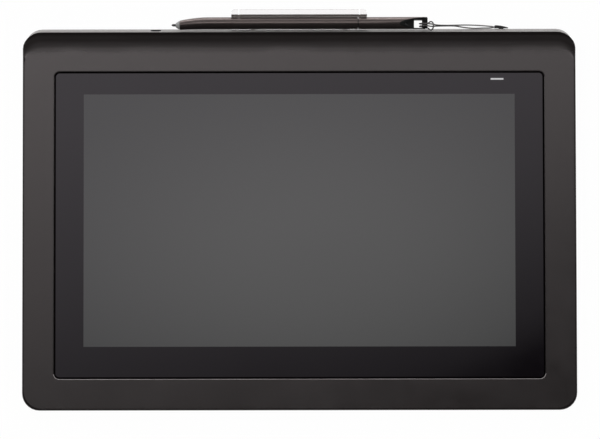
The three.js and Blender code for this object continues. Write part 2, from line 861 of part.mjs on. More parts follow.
function dataSocket() {
  const [, socket] = socketPlaces();
  const top = boardFloor + fit;
  const middle = top + socket.height / 2;
  const mouth = block(
    socket.width - 2 * socketShell, 2 * socketBoreDepth, socket.x, bayFront, top + socketShell,
    top + socket.height - socketShell);
  const tongue = block(
    socket.width - 4 * socketShell, socketBoreDepth, socket.x, bayFront - socketBoreDepth / 2 - overrun,
    middle - dataTongueThickness / 2, middle + dataTongueThickness / 2);
  return socketBlock(socket).subtract(solid(mouth)).add(solid(tongue));
}

// Lit indicator

function indicatorGuide() {
  return solid(block(guideWidth, guideLength, indicatorX, indicatorY, panelDepth, ledgeFloor));
}

function indicatorBoard() {
  const front = ribbonFaceY();
  const top = ledgeFloor + fit;
  return solid(block(
    lampBoardWidth, lampBoardLength, indicatorX, front + lampBoardLength / 2, top, top + lampBoardThickness));
}

// Rear wall fittings

function lockPlate() {
  const radius = wallArcRadius - shellWall - fit;
  const face = Math.sqrt(radius ** 2 - (lockPlateHeight / 2) ** 2);
  const sheet = new THREE.BoxGeometry(lockPlateWidth, lockPlateHeight, lockPlateThickness);
  const lean = degToRad(lockLeanDegrees);
  return cut(
    solid(onRearArc(sheet, lockX, lean, face - lockPlateThickness / 2)),
    onRearArc(lockSlot(2 * lockPlateThickness), lockX, lean, face - lockPlateThickness / 2),
  );
}

// A trough round the pen whose far wall rises into a thumb lip, with a flange that lies down the rear wall
function penHolder() {
  const mouth = degToRad(holderMouthDegrees);
  const inner = holderInnerRadius;
  const outer = holderOuterRadius;
  const trough = new THREE.Shape();
  trough.absarc(0, 0, inner, mouth, 2 * Math.PI, false);
  trough.lineTo(inner, holderRise);
  trough.lineTo(inner + lipReach, holderRise + lipRise);
  trough.lineTo(inner + lipReach, holderRise + lipRise - holderWall);
  trough.lineTo(outer, holderRise - holderWall);
  trough.absarc(0, 0, outer, 2 * Math.PI, mouth, true);
  const troughBody = place(sideExtrusion(trough, holderLength, 0), 0, penY, -penDepth);

  const lean = penLean - degToRad(flangeStartDegrees);
  const flangeInner = wallArcRadius + fit;
  const flange = new THREE.Shape();
  const footPoint = (radius) => [
    radius * Math.cos(faceTilt) - flangeFoot * Math.sin(faceTilt),
    -radius * Math.sin(faceTilt) - flangeFoot * Math.cos(faceTilt),
  ];
  flange.absarc(0, 0, flangeInner, lean, -faceTilt, true);
  flange.lineTo(...footPoint(flangeInner));
  flange.lineTo(...footPoint(flangeInner + holderWall));
  flange.absarc(0, 0, flangeInner + holderWall, -faceTilt, lean, false);
  const flangeBody = place(sideExtrusion(flange, holderLength, 0, rollSteps), 0, arcCentreY, -arcCentreDepth);

  const slits = [-1, 1].map((side) => block(
    slitWidth, 2 * (lipReach + holderWall), side * (holderLength / 2 - fingerLength),
    penY + inner + lipReach, penDepth - holderRise - lipRise - overrun, penDepth - penClearance));
  const holeEnd = wallArcRadius + holderWall + overrun;
  const holes = [-holderScrewX, holderScrewX].map((x) => (
    wallPost(holderScrew.shank + holeSlack, x, holderScrewLean(), wallArcRadius, holeEnd)));
  const planRear = penY + inner + lipReach;
  const planLength = planRear - housingLength + 4 * lipCorner;
  const plan = plate(
    holderLength, planLength, lipCorner, 0, planRear - planLength / 2, 0, 2 * undersideDepth(housingLength));
  return cut(joined(troughBody, flangeBody).intersect(solid(plan)), ...slits, ...holes);
}

// The lug that the tether ends in, pushed through the rear wall and held by its barb
function tetherLug() {
  const shape = new THREE.Shape();
  shape.moveTo(0, 0);
  shape.lineTo(0, lugRise - lugRound);
  shape.absarc(lugRound, lugRise - lugRound, lugRound, Math.PI, Math.PI / 2, true);
  shape.quadraticCurveTo(lugLength / 2, lugRise, lugLength, lugTail);
  shape.lineTo(lugLength, 0);
  const options = { depth: lugHeight, bevelEnabled: false, curveSegments: rollSteps };
  const body = new THREE.ExtrudeGeometry(shape, options);
  body.rotateX(Math.PI / 2);
  place(body, 0, lugHeight / 2, 0);
  const lean = degToRad(lugLeanDegrees);
  const stemX = lugX + lugLength / 2;
  const barbOuter = wallArcRadius - shellWall - fit;
  return joined(
    onRearArc(body, lugX, lean, wallArcRadius + fit),
    wallPost(lugStemRadius, stemX, lean, barbOuter - lugBarbThickness / 2, wallArcRadius + 2 * fit),
    wallPost(lugBarbRadius, stemX, lean, barbOuter - lugBarbThickness, barbOuter),
  );
}

// Feet and screws

function footPlaces() {
  return mirrored(housingWidth / 2 - footSideInset, [footFront, housingLength - footRearInset]);
}

function rubberFoot() {
  const profile = [
    new THREE.Vector2(0, footHeight - footStand),
    new THREE.Vector2(footRadius, footHeight - footStand),
    new THREE.Vector2(footRadius, footChamfer - footStand),
    new THREE.Vector2(footRadius - footChamfer, -footStand),
    new THREE.Vector2(0, -footStand),
  ];
  return lathed(profile, roundSides);
}

// A screw whose head lies below z 0 and whose shank stands up from it
function screwBody(screw) {
  const profile = [
    new THREE.Vector2(0, screw.length),
    new THREE.Vector2(screw.shank, screw.length),
    new THREE.Vector2(screw.shank, 0),
    new THREE.Vector2(screw.head, 0),
    new THREE.Vector2(screw.head, -screw.cap / 2),
    new THREE.Vector2(screw.head * headCrownShare, -screw.cap),
    new THREE.Vector2(0, -screw.cap),
  ];
  return lathed(profile, screwSides);
}

// Pen, modelled along x about its own axis; its nose is set a little towards the housing

function penRing(x, radius, offset = 0) {
  const points = [];
  for (let side = 0; side < roundSides; side += 1) {
    const angle = (2 * Math.PI * side) / roundSides;
    points.push(new THREE.Vector3(x, radius * Math.cos(angle) - offset, radius * Math.sin(angle)));
  }
  return points;
}

function turned(stations, closed) {
  return solid(loft(stations.map(([x, radius, offset]) => penRing(x, radius, offset)), closed));
}

// Radius and offset of the barrel's outside at a share of its taper, from 0 at the nose to 1
function taperStation(share, wall) {
  return [
    lerp(barrelFrontX, taperEndX, share),
    lerp(barrelFrontRadius, penRadius, Math.sin((share * Math.PI) / 2)) - wall,
    noseOffset * (1 - share) ** 2,
  ];
}

function penNib() {
  const tipLength = noseFrontX - penTipX;
  const rodStart = noseFrontX + tipLength / 2;
  return turned([
    [penTipX, nibRadius / 3, noseOffset],
    [penTipX + tipLength / 10, 2 * nibRadius / 3, noseOffset],
    [penTipX + tipLength / 3, nibRadius, noseOffset],
    [rodStart, nibRadius, noseOffset],
    [rodStart, nibRodRadius, noseOffset],
    [penTipX + nibRodLength, nibRodRadius, noseOffset],
  ], false);
}

function penNoseCone() {
  const rear = barrelFrontX - fit / 2;
  const spigotEnd = barrelFrontX + spigotLength;
  const spigotRadius = barrelFrontRadius - penWall - fit;
  return turned([
    [noseFrontX, noseTipRadius, noseOffset],
    [(noseFrontX + rear) / 2, (noseTipRadius + noseRearRadius) / 2 + noseBulge, noseOffset],
    [rear, noseRearRadius, noseOffset],
    [rear, spigotRadius, noseOffset],
    [spigotEnd, spigotRadius, noseOffset],
    [spigotEnd, spigotRadius - spigotWall, noseOffset],
    [noseFrontX, nibRadius + fit / 2, noseOffset],
  ], true);
}

function penFrontBarrel() {
  const outside = [];
  const inside = [];
  for (let step = 0; step <= rollSteps; step += 1) {
    outside.push(taperStation(step / rollSteps, 0));
    inside.unshift(taperStation(step / rollSteps, penWall));
  }
  return turned([
    ...outside,
    [barrelJointX, penRadius, 0],
    [barrelJointX, penRadius - penWall, 0],
    ...inside,
  ], true);
}

// The slanted cut across the pen's tail, as a block whose underside is the cut. It falls towards the end of
// the pen and towards the housing, and the drop sinks it below the barrel's surface where it starts.
function scoopCut(drop) {
  const length = 2 * (penTailX - scoopStartX);
  const height = 4 * penRadius;
  const geometry = new THREE.BoxGeometry(length, height, height);
  place(geometry, length / 2 - penRadius, 0, height / 2);
  geometry.rotateX(degToRad(scoopTiltDegrees));
  geometry.rotateY(degToRad(scoopDegrees));
  return place(geometry, scoopStartX, 0, penRadius - drop);
}

// The hole up through the pen's tail that leaves the crossbar behind it
function tailWindow() {
  const geometry = new THREE.BoxGeometry(windowLength, windowWidth, 4 * penRadius);
  return place(geometry, windowStartX + windowLength / 2, windowOffset, 0);
}

function penRearBarrel() {
  const front = barrelJointX + barrelJointGap;
  const rear = penTailX - tailCapLength - fit;
  const inner = penRadius - penWall;
  const spigotRadius = inner - fit / 2;
  return cut(turned([
    [front - spigotLength, spigotRadius],
    [front, spigotRadius],
    [front, penRadius],
    [rear, penRadius],
    [rear, inner],
    [front + spigotWall, inner],
    [front, spigotRadius - spigotWall],
    [front - spigotLength, spigotRadius - spigotWall],
  ], true), scoopCut(0), tailWindow());
}

function penTail() {
  const plugRadius = penRadius - penWall - fit;
  const shoulder = penTailX - tailCapLength;
  const body = turned([
    [windowStartX - plugLength, plugRadius],
    [shoulder, plugRadius],
    [shoulder, penRadius],
    [penTailX - tailRound, penRadius],
    [penTailX, penRadius - tailRound],
  ], false);
  return cut(body, scoopCut(scoopStep), tailWindow());
}

function penCoil() {
  return turned([
    [coilFrontX, coilRadius, noseOffset],
    [coilFrontX + coilLength, coilRadius, noseOffset],
    [coilFrontX + coilLength, coilRadius - coilWall, noseOffset],
    [coilFrontX, coilRadius - coilWall, noseOffset],
  ], true);
}

function penPressureSensor() {
  const front = penTipX + nibRodLength + nibTravel + fit / 2;
  return turned([
    [front, pressureRadius, noseOffset],
    [front + pressureLength, pressureRadius, noseOffset],
  ], false);
}

function penBoard() {
  return solid(place(
    new THREE.BoxGeometry(penBoardLength, penBoardWidth, penBoardThickness),
    penBoardFrontX + penBoardLength / 2, 0, 0));
}

// The tether's route from the lug, over the crossbar, round it, across both strands, round it again and back.
// Each point is x, then y and z from the pen's axis.
const cordRoute = [
  [101.6, -1.15, -8],
  [99.6, -0.96, -7.8],
  [96, -0.71, -7.1],
  [91, -0.58, -5.8],
  [86, -0.62, -4.5],
  [81, -0.85, -3.3],
  [76, -1.04, -2.2],
  [71.8, -0.95, -1.25],
  [68.8, -0.5, -0.35],
  [66.7, -0.38, 0.4],
  [65, -0.34, 0.72],
  [63.45, -0.28, 0.1],
  [62.65, -0.22, -1.5],
  [63.3, -0.15, -3.25],
  [65.3, -0.05, -4.05],
  [67.2, 0.3, -3.4],
  [68, 0.75, -2.2],
  [68.8, 0.75, -0.6],
  [69.5, 0, 0.6],
  [69.8, -1.4, 1.05],
  [69.5, -2.8, 0.6],
  [68.8, -3.55, -0.6],
  [68, -3.3, -2.2],
  [67.2, -2.4, -3.4],
  [65.3, -1.75, -4.05],
  [63.3, -1.65, -3.25],
  [62.65, -1.58, -1.5],
  [63.45, -1.52, 0.1],
  [65, -1.46, 0.72],
  [66.7, -1.5, 0.4],
  [68.8, -1.7, -0.6],
  [71.8, -1.4, -2.15],
  [76, -1.21, -3.2],
  [81, -1.14, -4.3],
  [86, -1.81, -5.2],
  [91, -2.2, -5.9],
  [96, -1.9, -7.4],
  [99.6, -1.76, -8.3],
  [101.6, -1.46, -8.75],
];

function tetherCord() {
  const path = new THREE.CatmullRomCurve3(cordRoute.map((point) => new THREE.Vector3(...point)));
  const section = new THREE.Shape();
  for (let side = 0; side < cordSides; side += 1) {
    const angle = (2 * Math.PI * side) / cordSides;
    const x = (cordDiameter / 2) * Math.cos(angle);
    const y = (cordDiameter / 2) * Math.sin(angle);
    if (side === 0) {
      section.moveTo(x, y);
    } else {
      section.lineTo(x, y);
    }
  }
  const options = { steps: cordSteps, extrudePath: path, bevelEnabled: false };
  return solid(new THREE.ExtrudeGeometry(section, options));
}

// Materials

function matte(color, roughness = 0.75) {
  return new THREE.MeshStandardMaterial({ color, roughness, metalness: 0 });
}

function gloss(color, opacity = 1) {
  return new THREE.MeshStandardMaterial({
    color, roughness: 0.08, metalness: 0, opacity, transparent: opacity < 1,
  });
}

function metal(color, roughness = 0.35) {
  return new THREE.MeshStandardMaterial({ color, roughness, metalness: 1 });
}

const colours = {
  frontShell: 0x3a3738,
  rearShell: 0x6a6665,
  glass: 0x1b191b,
  foam: 0x151515,
  panel: 0x595959,
  tray: 0xd8d8d4,
  circuit: 0x1f4a2e,
  steel: 0xb4b6b8,
  ribbon: 0xb06a24,
  chip: 0x1c1c1e,
  brightWhite: 0xe8e8e8,
  rubber: 0x1a1a1a,
  clear: 0xf2eeee,
  black: 0x141414,
  bronze: 0x584d4b,
  noseGrey: 0x9a9897,
  nib: 0x3a3a3c,
  copper: 0xb5693a,
  cord: 0x4a4645,
};

// Assembly

const signaturePad = new THREE.Group();
const housing = new THREE.Group();
const pen = new THREE.Group();
housing.rotation.x = faceTilt;
pen.position.set(0, penY, -penDepth);
signaturePad.add(housing);
housing.add(pen);

function addPiece(group, name, body, material) {
  const mesh = new THREE.Mesh(geometryOf(body), material);
  mesh.name = name;
  group.add(mesh);
  return mesh;
}

// Copies of one screw at several places, turned about x
function addScrews(name, screw, places, turn, material) {
  places.forEach(({ x, y, z }, index) => {
    const mesh = addPiece(housing, `${name}_${index + 1}`, screwBody(screw), material());
    mesh.position.set(x, y, z);
    mesh.rotation.x = turn;
  });
}

addPiece(housing, 'front_bezel', frontBezel(), matte(colours.frontShell));
addPiece(housing, 'rear_cover', rearCover(), matte(colours.rearShell, 0.55));
addPiece(housing, 'cover_glass', coverGlass(), gloss(colours.glass));
addPiece(housing, 'glass_tape', glassTape(), matte(colours.foam));
addPiece(housing, 'lcd_panel', lcdPanel(), gloss(colours.panel));
addPiece(housing, 'backlight_tray', backlightTray(), matte(colours.tray));
addPiece(housing, 'pen_sensor_board', penSensorBoard(), matte(colours.circuit));
addPiece(housing, 'shield_plate', shieldPlate(), metal(colours.steel));
addPiece(housing, 'display_cable', displayCable(), matte(colours.ribbon));
addPiece(housing, 'main_board', mainBoard(), matte(colours.circuit));
addPiece(housing, 'processor', processor(), matte(colours.chip));
addPiece(housing, 'processor_can', processorCan(), metal(colours.steel));
addPiece(housing, 'sensor_connector', sensorConnector(), matte(colours.brightWhite));
addPiece(housing, 'power_socket', powerSocket(), matte(colours.black));
addPiece(housing, 'data_socket', dataSocket(), metal(colours.steel));
addPiece(housing, 'indicator_guide', indicatorGuide(), gloss(colours.clear, 0.5));
addPiece(housing, 'indicator_board', indicatorBoard(), matte(colours.circuit));
addPiece(housing, 'lock_plate', lockPlate(), metal(colours.steel));
addPiece(housing, 'pen_holder', penHolder(), gloss(colours.clear, 0.35));
addPiece(housing, 'tether_lug', tetherLug(), matte(colours.black, 0.5));

footPlaces().forEach(({ x, y }, index) => {
  const foot = addPiece(housing, `rubber_foot_${index + 1}`, rubberFoot(), matte(colours.rubber, 0.9));
  foot.position.set(x, y, -undersideDepth(y));
  foot.rotation.x = -faceTilt;
});

addScrews(
  'housing_screw', housingScrew,
  housingScrewPlaces().map(({ x, y }) => ({ x, y, z: -(seatDepth(y) + fit) })),
  0, () => metal(colours.steel));
addScrews(
  'shield_screw', boardScrew,
  plateScrewPlaces().map(({ x, y }) => ({ x, y, z: -(shieldFloor + fit) })),
  0, () => metal(colours.steel));
addScrews(
  'board_screw', boardScrew,
  boardScrewPlaces().map(({ x, y }) => ({ x, y, z: fit - boardDepth })),
  Math.PI, () => metal(colours.steel));
addScrews(
  'holder_screw', holderScrew,
  [-holderScrewX, holderScrewX].map((x) => ({
    x,
    y: arcCentreY + holderHeadRadius * Math.cos(holderScrewLean()),
    z: holderHeadRadius * Math.sin(holderScrewLean()) - arcCentreDepth,
  })),
  holderScrewLean() + Math.PI / 2, () => metal(colours.steel));

addPiece(pen, 'pen_nib', penNib(), matte(colours.nib, 0.5));
addPiece(pen, 'pen_nose_cone', penNoseCone(), matte(colours.noseGrey, 0.4));
addPiece(pen, 'pen_front_barrel', penFrontBarrel(), matte(colours.bronze, 0.4));
addPiece(pen, 'pen_rear_barrel', penRearBarrel(), matte(colours.bronze, 0.4));
addPiece(pen, 'pen_tail', penTail(), matte(colours.black, 0.5));
addPiece(pen, 'pen_coil', penCoil(), metal(colours.copper));
addPiece(pen, 'pen_pressure_sensor', penPressureSensor(), matte(colours.brightWhite));
addPiece(pen, 'pen_circuit_board', penBoard(), matte(colours.circuit));
addPiece(pen, 'tether_cord', tetherCord(), matte(colours.cord, 0.8));

// Stand the product on the table with the origin under its middle
signaturePad.updateMatrixWorld(true);
const reach = new THREE.Box3().setFromObject(signaturePad, true);
const middle = reach.getCenter(new THREE.Vector3());
housing.position.set(-middle.x, -middle.y, -reach.min.z);

export default signaturePad;
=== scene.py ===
import json
import math

import bpy
from mathutils import Matrix, Vector
from mathutils.geometry import tessellate_polygon


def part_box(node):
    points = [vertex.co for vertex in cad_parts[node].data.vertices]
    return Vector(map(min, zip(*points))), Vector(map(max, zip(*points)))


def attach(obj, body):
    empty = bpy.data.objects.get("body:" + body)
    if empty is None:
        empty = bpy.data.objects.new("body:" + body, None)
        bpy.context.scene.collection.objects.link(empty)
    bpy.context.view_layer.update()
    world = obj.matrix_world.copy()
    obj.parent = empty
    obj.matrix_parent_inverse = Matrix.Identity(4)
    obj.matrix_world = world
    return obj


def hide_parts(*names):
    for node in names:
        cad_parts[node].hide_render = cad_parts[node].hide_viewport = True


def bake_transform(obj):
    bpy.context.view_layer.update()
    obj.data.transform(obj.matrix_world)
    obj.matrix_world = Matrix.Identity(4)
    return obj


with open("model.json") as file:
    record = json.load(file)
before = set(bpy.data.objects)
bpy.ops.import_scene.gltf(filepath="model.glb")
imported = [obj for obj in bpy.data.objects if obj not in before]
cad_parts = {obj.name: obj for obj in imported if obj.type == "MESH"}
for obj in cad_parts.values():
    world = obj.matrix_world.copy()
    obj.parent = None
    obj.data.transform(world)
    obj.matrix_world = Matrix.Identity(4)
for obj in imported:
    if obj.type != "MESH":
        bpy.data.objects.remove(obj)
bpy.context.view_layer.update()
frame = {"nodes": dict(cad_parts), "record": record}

NODES = frame["nodes"]
MM = 0.001

# The face: x from its middle, y from its front edge, z out of the face
FACE_TILT = math.radians(3)
GLASS_FRONT = 16.9 * MM
GLASS_LENGTH = 157.4 * MM
GLASS_INSET = 0.2 * MM
GLASS_THICKNESS = 1.6 * MM
TILT = Matrix.Rotation(FACE_TILT, 3, "X")
GLASS_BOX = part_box("cover_glass")
GLASS_MIDDLE = Vector((0, GLASS_FRONT + GLASS_LENGTH / 2, -(GLASS_INSET + GLASS_THICKNESS / 2)))
FACE_ORIGIN = (Vector(GLASS_BOX[0]) + Vector(GLASS_BOX[1])) / 2 - TILT @ GLASS_MIDDLE

# Display and indicator, drawn behind the glass. The display carries a painted pool of light, whose centre
# is on the face, and which dims between two distances that are shares of the display's size
DISPLAY_WIDTH = 222.7 * MM
DISPLAY_LENGTH = 130.4 * MM
DISPLAY_CENTRE_Y = 98 * MM
PAINTED_LIGHT_CENTRE = (13 * MM, DISPLAY_CENTRE_Y - 22 * MM, 0)
PAINTED_LIGHT_REACH = (0.1, 0.95)
DASH_WIDTH = 6.6 * MM
DASH_LENGTH = 0.85 * MM
DASH_X = 102.3 * MM
DASH_Y = 170.95 * MM
PRINT_EDGE = 0.06 * MM

# Rolled rear edge: where it starts and how far before that its fade comes in, the depth below the face
# by which the gloss has faded, the heights between which it goes dark, and the roughness that is added
# from one reach before the start to one reach past it
ROLL_START = 186 * MM
ROLL_LEAD = 4 * MM
ROLL_FADE_DEPTH = 0.75 * MM
ROLL_FADED_GLOSS = 0.1
ROLL_DARK_HEIGHTS = (-2.2 * MM, -0.7 * MM)
ROLL_ROUGH_REACH = 3 * MM
ROLL_ROUGHNESS = 0.3

# Rear wall: the arc that it curves on, the depths below its skin from which the lock slot is painted dark
# as shade and starts to be, the parting line above it, also painted dark as shade, and the slot's place and
# size
WALL_ARC = (0, 183.564 * MM, -16.188 * MM)
WALL_ARC_RADIUS = 15 * MM
WALL_SKIN = (0.15 * MM, 0.05 * MM)
PARTING_Z = -8.1 * MM
PARTING_HALF = 0.05 * MM
LOCK_X = -74.6 * MM
LOCK_HALF_WIDTH = 2.9 * MM
LOCK_EDGE = 0.1 * MM

# Pen: the radii between which the black of its cut tail gives way to lacquer, the place along x from
# which it is cut, and the dark joint between its barrels, from the end of the front one
PEN_SKIN = (3.06 * MM, 3.09 * MM)
TAIL_CUT_START = 50 * MM
BARREL_JOINT_OFFSET = 0.15 * MM
BARREL_JOINT_EDGE = (0.2 * MM, 0.32 * MM)

# Joint in front of the pen's tail cap, as two places along x, and the seal in it, about the pen's axis
TAIL_JOINT = (65.72 * MM, 65.98 * MM)
TAIL_SEAL_RADII = (2.2 * MM, 3 * MM)
TAIL_SEAL_ARC = (math.radians(-1), math.radians(-156))
TAIL_SEAL_STEPS = 20

# Clear holder, from the pen's axis: the upright wall behind the pen, the wall on the user's side, and the
# edge where the lip leaves the upright wall. The upright wall and the lip edge carry painted shade and a
# painted reflection of the pen, in dark brown
UPRIGHT_REACH = (4.45 * MM, 4.6 * MM)
UPRIGHT_FOOT = (-0.9 * MM, -0.5 * MM)
UPRIGHT_SOLID = 0.7
NEAR_WALL_BACK = (-2.8 * MM, -2.2 * MM)
NEAR_WALL_ALPHA = 0.02
LIP_EDGE_BACK = (3.5 * MM, 3.8 * MM)
LIP_EDGE_HEIGHT = (2.0 * MM, 2.3 * MM)

# Screws: head radius, head height, shank radius and length
HOUSING_SCREW = (2.6 * MM, 1.6 * MM, 1.25 * MM, 5.6 * MM)
HOLDER_SCREW = (1.6 * MM, 1.1 * MM, 0.9 * MM, 4.6 * MM)
SCREW_SIDES = 24

# Cross recess: the reach and half the width of an arm as shares of the head's radius, and its height as
# a share of the head's. The outer end of an arm is narrower than its root
RECESS_MOUTH = (0.55, 0.13, 1)
RECESS_FLOOR = (0.4, 0.09, 0.35)
RECESS_POINT = 0.3
ARM_END_SHARE = 0.8

# Each kind of screw: name, how many, where its head faces in the face's axes, its sizes, and the
# degrees that each recess is turned on from the one before
SCREW_KINDS = [
    ("housing_screw", 6, (0, 0, -1), HOUSING_SCREW, 23),
    ("holder_screw", 2, (0, 1, 0), HOLDER_SCREW, 31),
]

# Finish of the meshes. Edges sharper than these degrees stay sharp
WELD_DISTANCE = 0.001 * MM
FLAT_DEGREES = 0.3
SHARP_DEGREES = 32
SCREW_SHARP_DEGREES = 40
AREA_WEIGHT = 100

# Looks: the two values that noise mostly keeps between, the samples of a rounded edge, how much paler
# plastic is where an edge is worn, and how fine the lines of rolled steel are along x, y and z
NOISE_LOW = 0.3
NOISE_HIGH = 0.7
BEVEL_SAMPLES = 4
WORN_SHARE = 1.25
STEEL_LINES = (1, 1, 40)

# Camera, as the photograph was taken
CAMERA_DISTANCE = 1.6
CAMERA_LEAN = math.radians(2.6)
CAMERA_ROLL = math.radians(0.09)
CAMERA_LENS = 186.05
CAMERA_SENSOR = 36
CAMERA_CLIP = (0.05, 20)
CAMERA_AIM_X = 0.31 * MM
CAMERA_AIM_Y = 98.3 * MM

# Studio: how far the floor reaches from its middle, which lies to the right of the pad, the softbox's
# place from the middle of the glass, and the world's strength on matt surfaces
FLOOR_REACH = 8.0
FLOOR_ASIDE = 3.0
FLOOR_HEIGHT = -0.02 * MM
FLOOR_WHITE_SHARE = 0.98
SOFTBOX_PLACE = (-0.2, 0.345, 0.9)
SOFTBOX_SIZE = 0.25
SOFTBOX_WATTS = 2.8
AMBIENT_STRENGTH = 0.6

# The studio that gloss sees. A turn is how much of x goes with y in a direction. The others are two
# strengths, and the two values of a direction between which the first turns into the second
OVERHEAD_TURN = 0.18
OVERHEAD_OVER_USER = (0.03, 1.2, -0.13, 0.08)
OVERHEAD_BEHIND = (0, 1.9, 0.07, 0.17)
OVERHEAD_HEIGHT = (0.05, 1, 0.945, 0.985)
CORNER_TURN = 0.5
CORNER_FADE = (1.04, 0.6, 0.0, 0.16)
CORNER_END = (1, 0.02, 0.075, 0.092)
BACKDROP_HEIGHT = (1.1, 0.25, 0.3, 0.72)
BACKDROP_STRIP = (6.5, 0, 0.05, 0.19)
BACKDROP_BEHIND = (0.03, 1, 0.02, 0.3)

# Tether. Its route is in millimetres: x from the pad's middle, y and z of the face from the pen's axis
CORD_DIAMETER = 0.7 * MM
CORD_SIDES = 12
CORD_SUBSTEPS = 8
CORD_ROUTE = [
    (101.6, -1.15, -8),
    (99.6, -0.96, -7.8),
    (96, -0.71, -7.1),
    (91, -0.58, -5.8),
    (86, -0.62, -4.5),
    (81, -0.85, -3.3),
    (76, -1.04, -2.2),
    (71.8, -0.95, -1.25),
    (68.8, -0.5, -0.35),
    (66.7, -0.38, 0.4),
    (65, -0.34, 0.72),
    (63.45, -0.28, 0.1),
    (62.65, -0.22, -1.5),
    (63.3, -0.15, -3.25),
    (65.3, -0.05, -4.05),
    (67.2, 0.3, -3.4),
    (68, 0.75, -2.2),
    (68.8, 0.75, -0.6),
    (69.5, 0, 0.6),
    (69.8, -1.4, 1.05),
    (69.5, -2.8, 0.6),
    (68.8, -3.55, -0.6),
    (68, -3.3, -2.2),
    (67.2, -2.4, -3.4),
    (65.3, -1.75, -4.05),
    (63.3, -1.65, -3.25),
    (62.65, -1.58, -1.5),
    (63.45, -1.52, 0.1),
    (65, -1.46, 0.72),
    (66.7, -1.5, 0.4),
    (68.8, -1.7, -0.6),
    (71.8, -1.4, -2.15),
    (76, -1.21, -3.2),
    (81, -1.14, -4.3),
    (86, -1.81, -5.2),
    (91, -2.2, -5.9),
    (96, -1.9, -7.4),
    (99.6, -1.76, -8.3),
    (101.6, -1.46, -8.75),
]
FREE_STRANDS_START = (76 * MM, 86 * MM)


def on_face(x, y):
    """A place given on the face, in metres, as a place in the frame that all pieces share"""
    return FACE_ORIGIN + TILT @ Vector((x, y, 0))


def box_middle(node):
    low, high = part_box(node)
    return (Vector(low) + Vector(high)) / 2


# Camera

def make_camera():
    camera = bpy.data.objects.new("camera", bpy.data.cameras.new("camera"))
    bpy.context.scene.collection.objects.link(camera)
    back = TILT @ Vector((0, -math.sin(CAMERA_LEAN), math.cos(CAMERA_LEAN)))
    up = TILT @ Vector((0, math.cos(CAMERA_LEAN), math.sin(CAMERA_LEAN)))
    right = up.cross(back)
    place = on_face(CAMERA_AIM_X, CAMERA_AIM_Y) + back * CAMERA_DISTANCE
    turn = Matrix((right, up, back)).transposed() @ Matrix.Rotation(-CAMERA_ROLL, 3, "Z")
    camera.matrix_world = Matrix.Translation(place) @ turn.to_4x4()
    camera.data.lens = CAMERA_LENS
    camera.data.sensor_width = CAMERA_SENSOR
    camera.data.clip_start, camera.data.clip_end = CAMERA_CLIP
    bpy.context.scene.camera = camera


# Tether cord

def span_points(route, index, steps):
    """The points of one span of a centripetal curve through the route"""
    def at(i):
        if i < 0:
            return 2 * route[0] - route[1]
        if i >= len(route):
            return 2 * route[-1] - route[-2]
        return route[i]
    p0, p1, p2, p3 = (at(index + offset) for offset in (-1, 0, 1, 2))
    t01, t12, t23 = ((b - a).length ** 0.5 for a, b in ((p0, p1), (p1, p2), (p2, p3)))
    leave = (p1 - p0) / t01 - (p2 - p0) / (t01 + t12) + (p2 - p1) / t12
    arrive = (p2 - p1) / t12 - (p3 - p1) / (t12 + t23) + (p3 - p2) / t23
    leave *= t12
    arrive *= t12
    for step in range(steps):
        s = step / steps
        yield (
            (2 * s ** 3 - 3 * s ** 2 + 1) * p1 + (s ** 3 - 2 * s ** 2 + s) * leave
            + (-2 * s ** 3 + 3 * s ** 2) * p2 + (s ** 3 - s ** 2) * arrive
        )


def curve_through(route, steps):
    points = [p for index in range(len(route) - 1) for p in span_points(route, index, steps)]
    return points + [route[-1]]


def tube_along(points, radius, sides):
    """Vertices and faces of a closed tube whose rings don't twist along the points"""
    vertices = []
    faces = []
    normal = None
    for i, point in enumerate(points):
        ahead = points[min(i + 1, len(points) - 1)]
        behind = points[max(i - 1, 0)]
        along = (ahead - behind).normalized()
        if normal is None:
            normal = along.orthogonal().normalized()
        normal = (normal - along * normal.dot(along)).normalized()
        side = along.cross(normal)
        for k in range(sides):
            angle = 2 * math.pi * k / sides
            vertices.append(point + radius * (math.cos(angle) * normal + math.sin(angle) * side))
    for i in range(len(points) - 1):
        for k in range(sides):
            n = (k + 1) % sides
            faces.append((i * sides + k, i * sides + n, (i + 1) * sides + n, (i + 1) * sides + k))
    faces.append(tuple(reversed(range(sides))))
    faces.append(tuple((len(points) - 1) * sides + k for k in range(sides)))
    return vertices, faces


def new_piece(name, vertices, faces, material, smooth=True):
    mesh = bpy.data.meshes.new(name)
    mesh.from_pydata([tuple(v) for v in vertices], [], faces)
    mesh.update()
    mesh.polygons.foreach_set("use_smooth", [smooth] * len(mesh.polygons))
    piece = bpy.data.objects.new(name, mesh)
    bpy.context.scene.collection.objects.link(piece)
    mesh.materials.append(material)
    return piece


def make_tether(material):
    axis = box_middle("pen_rear_barrel")
    route = [
        Vector((x * MM, axis.y, axis.z)) + TILT @ Vector((0, y * MM, z * MM)) for x, y, z in CORD_ROUTE
    ]
    points = curve_through(route, CORD_SUBSTEPS)
    length = sum((b - a).length for a, b in zip(points, points[1:]))
    vertices, faces = tube_along(points, CORD_DIAMETER / 2, CORD_SIDES)
    cord = new_piece("tether_strand", vertices, faces, material)
    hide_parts("tether_cord")
    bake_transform(cord)
    tuple(points[0])
    [tuple(p) for p in points]


# Seal in the pen's tail

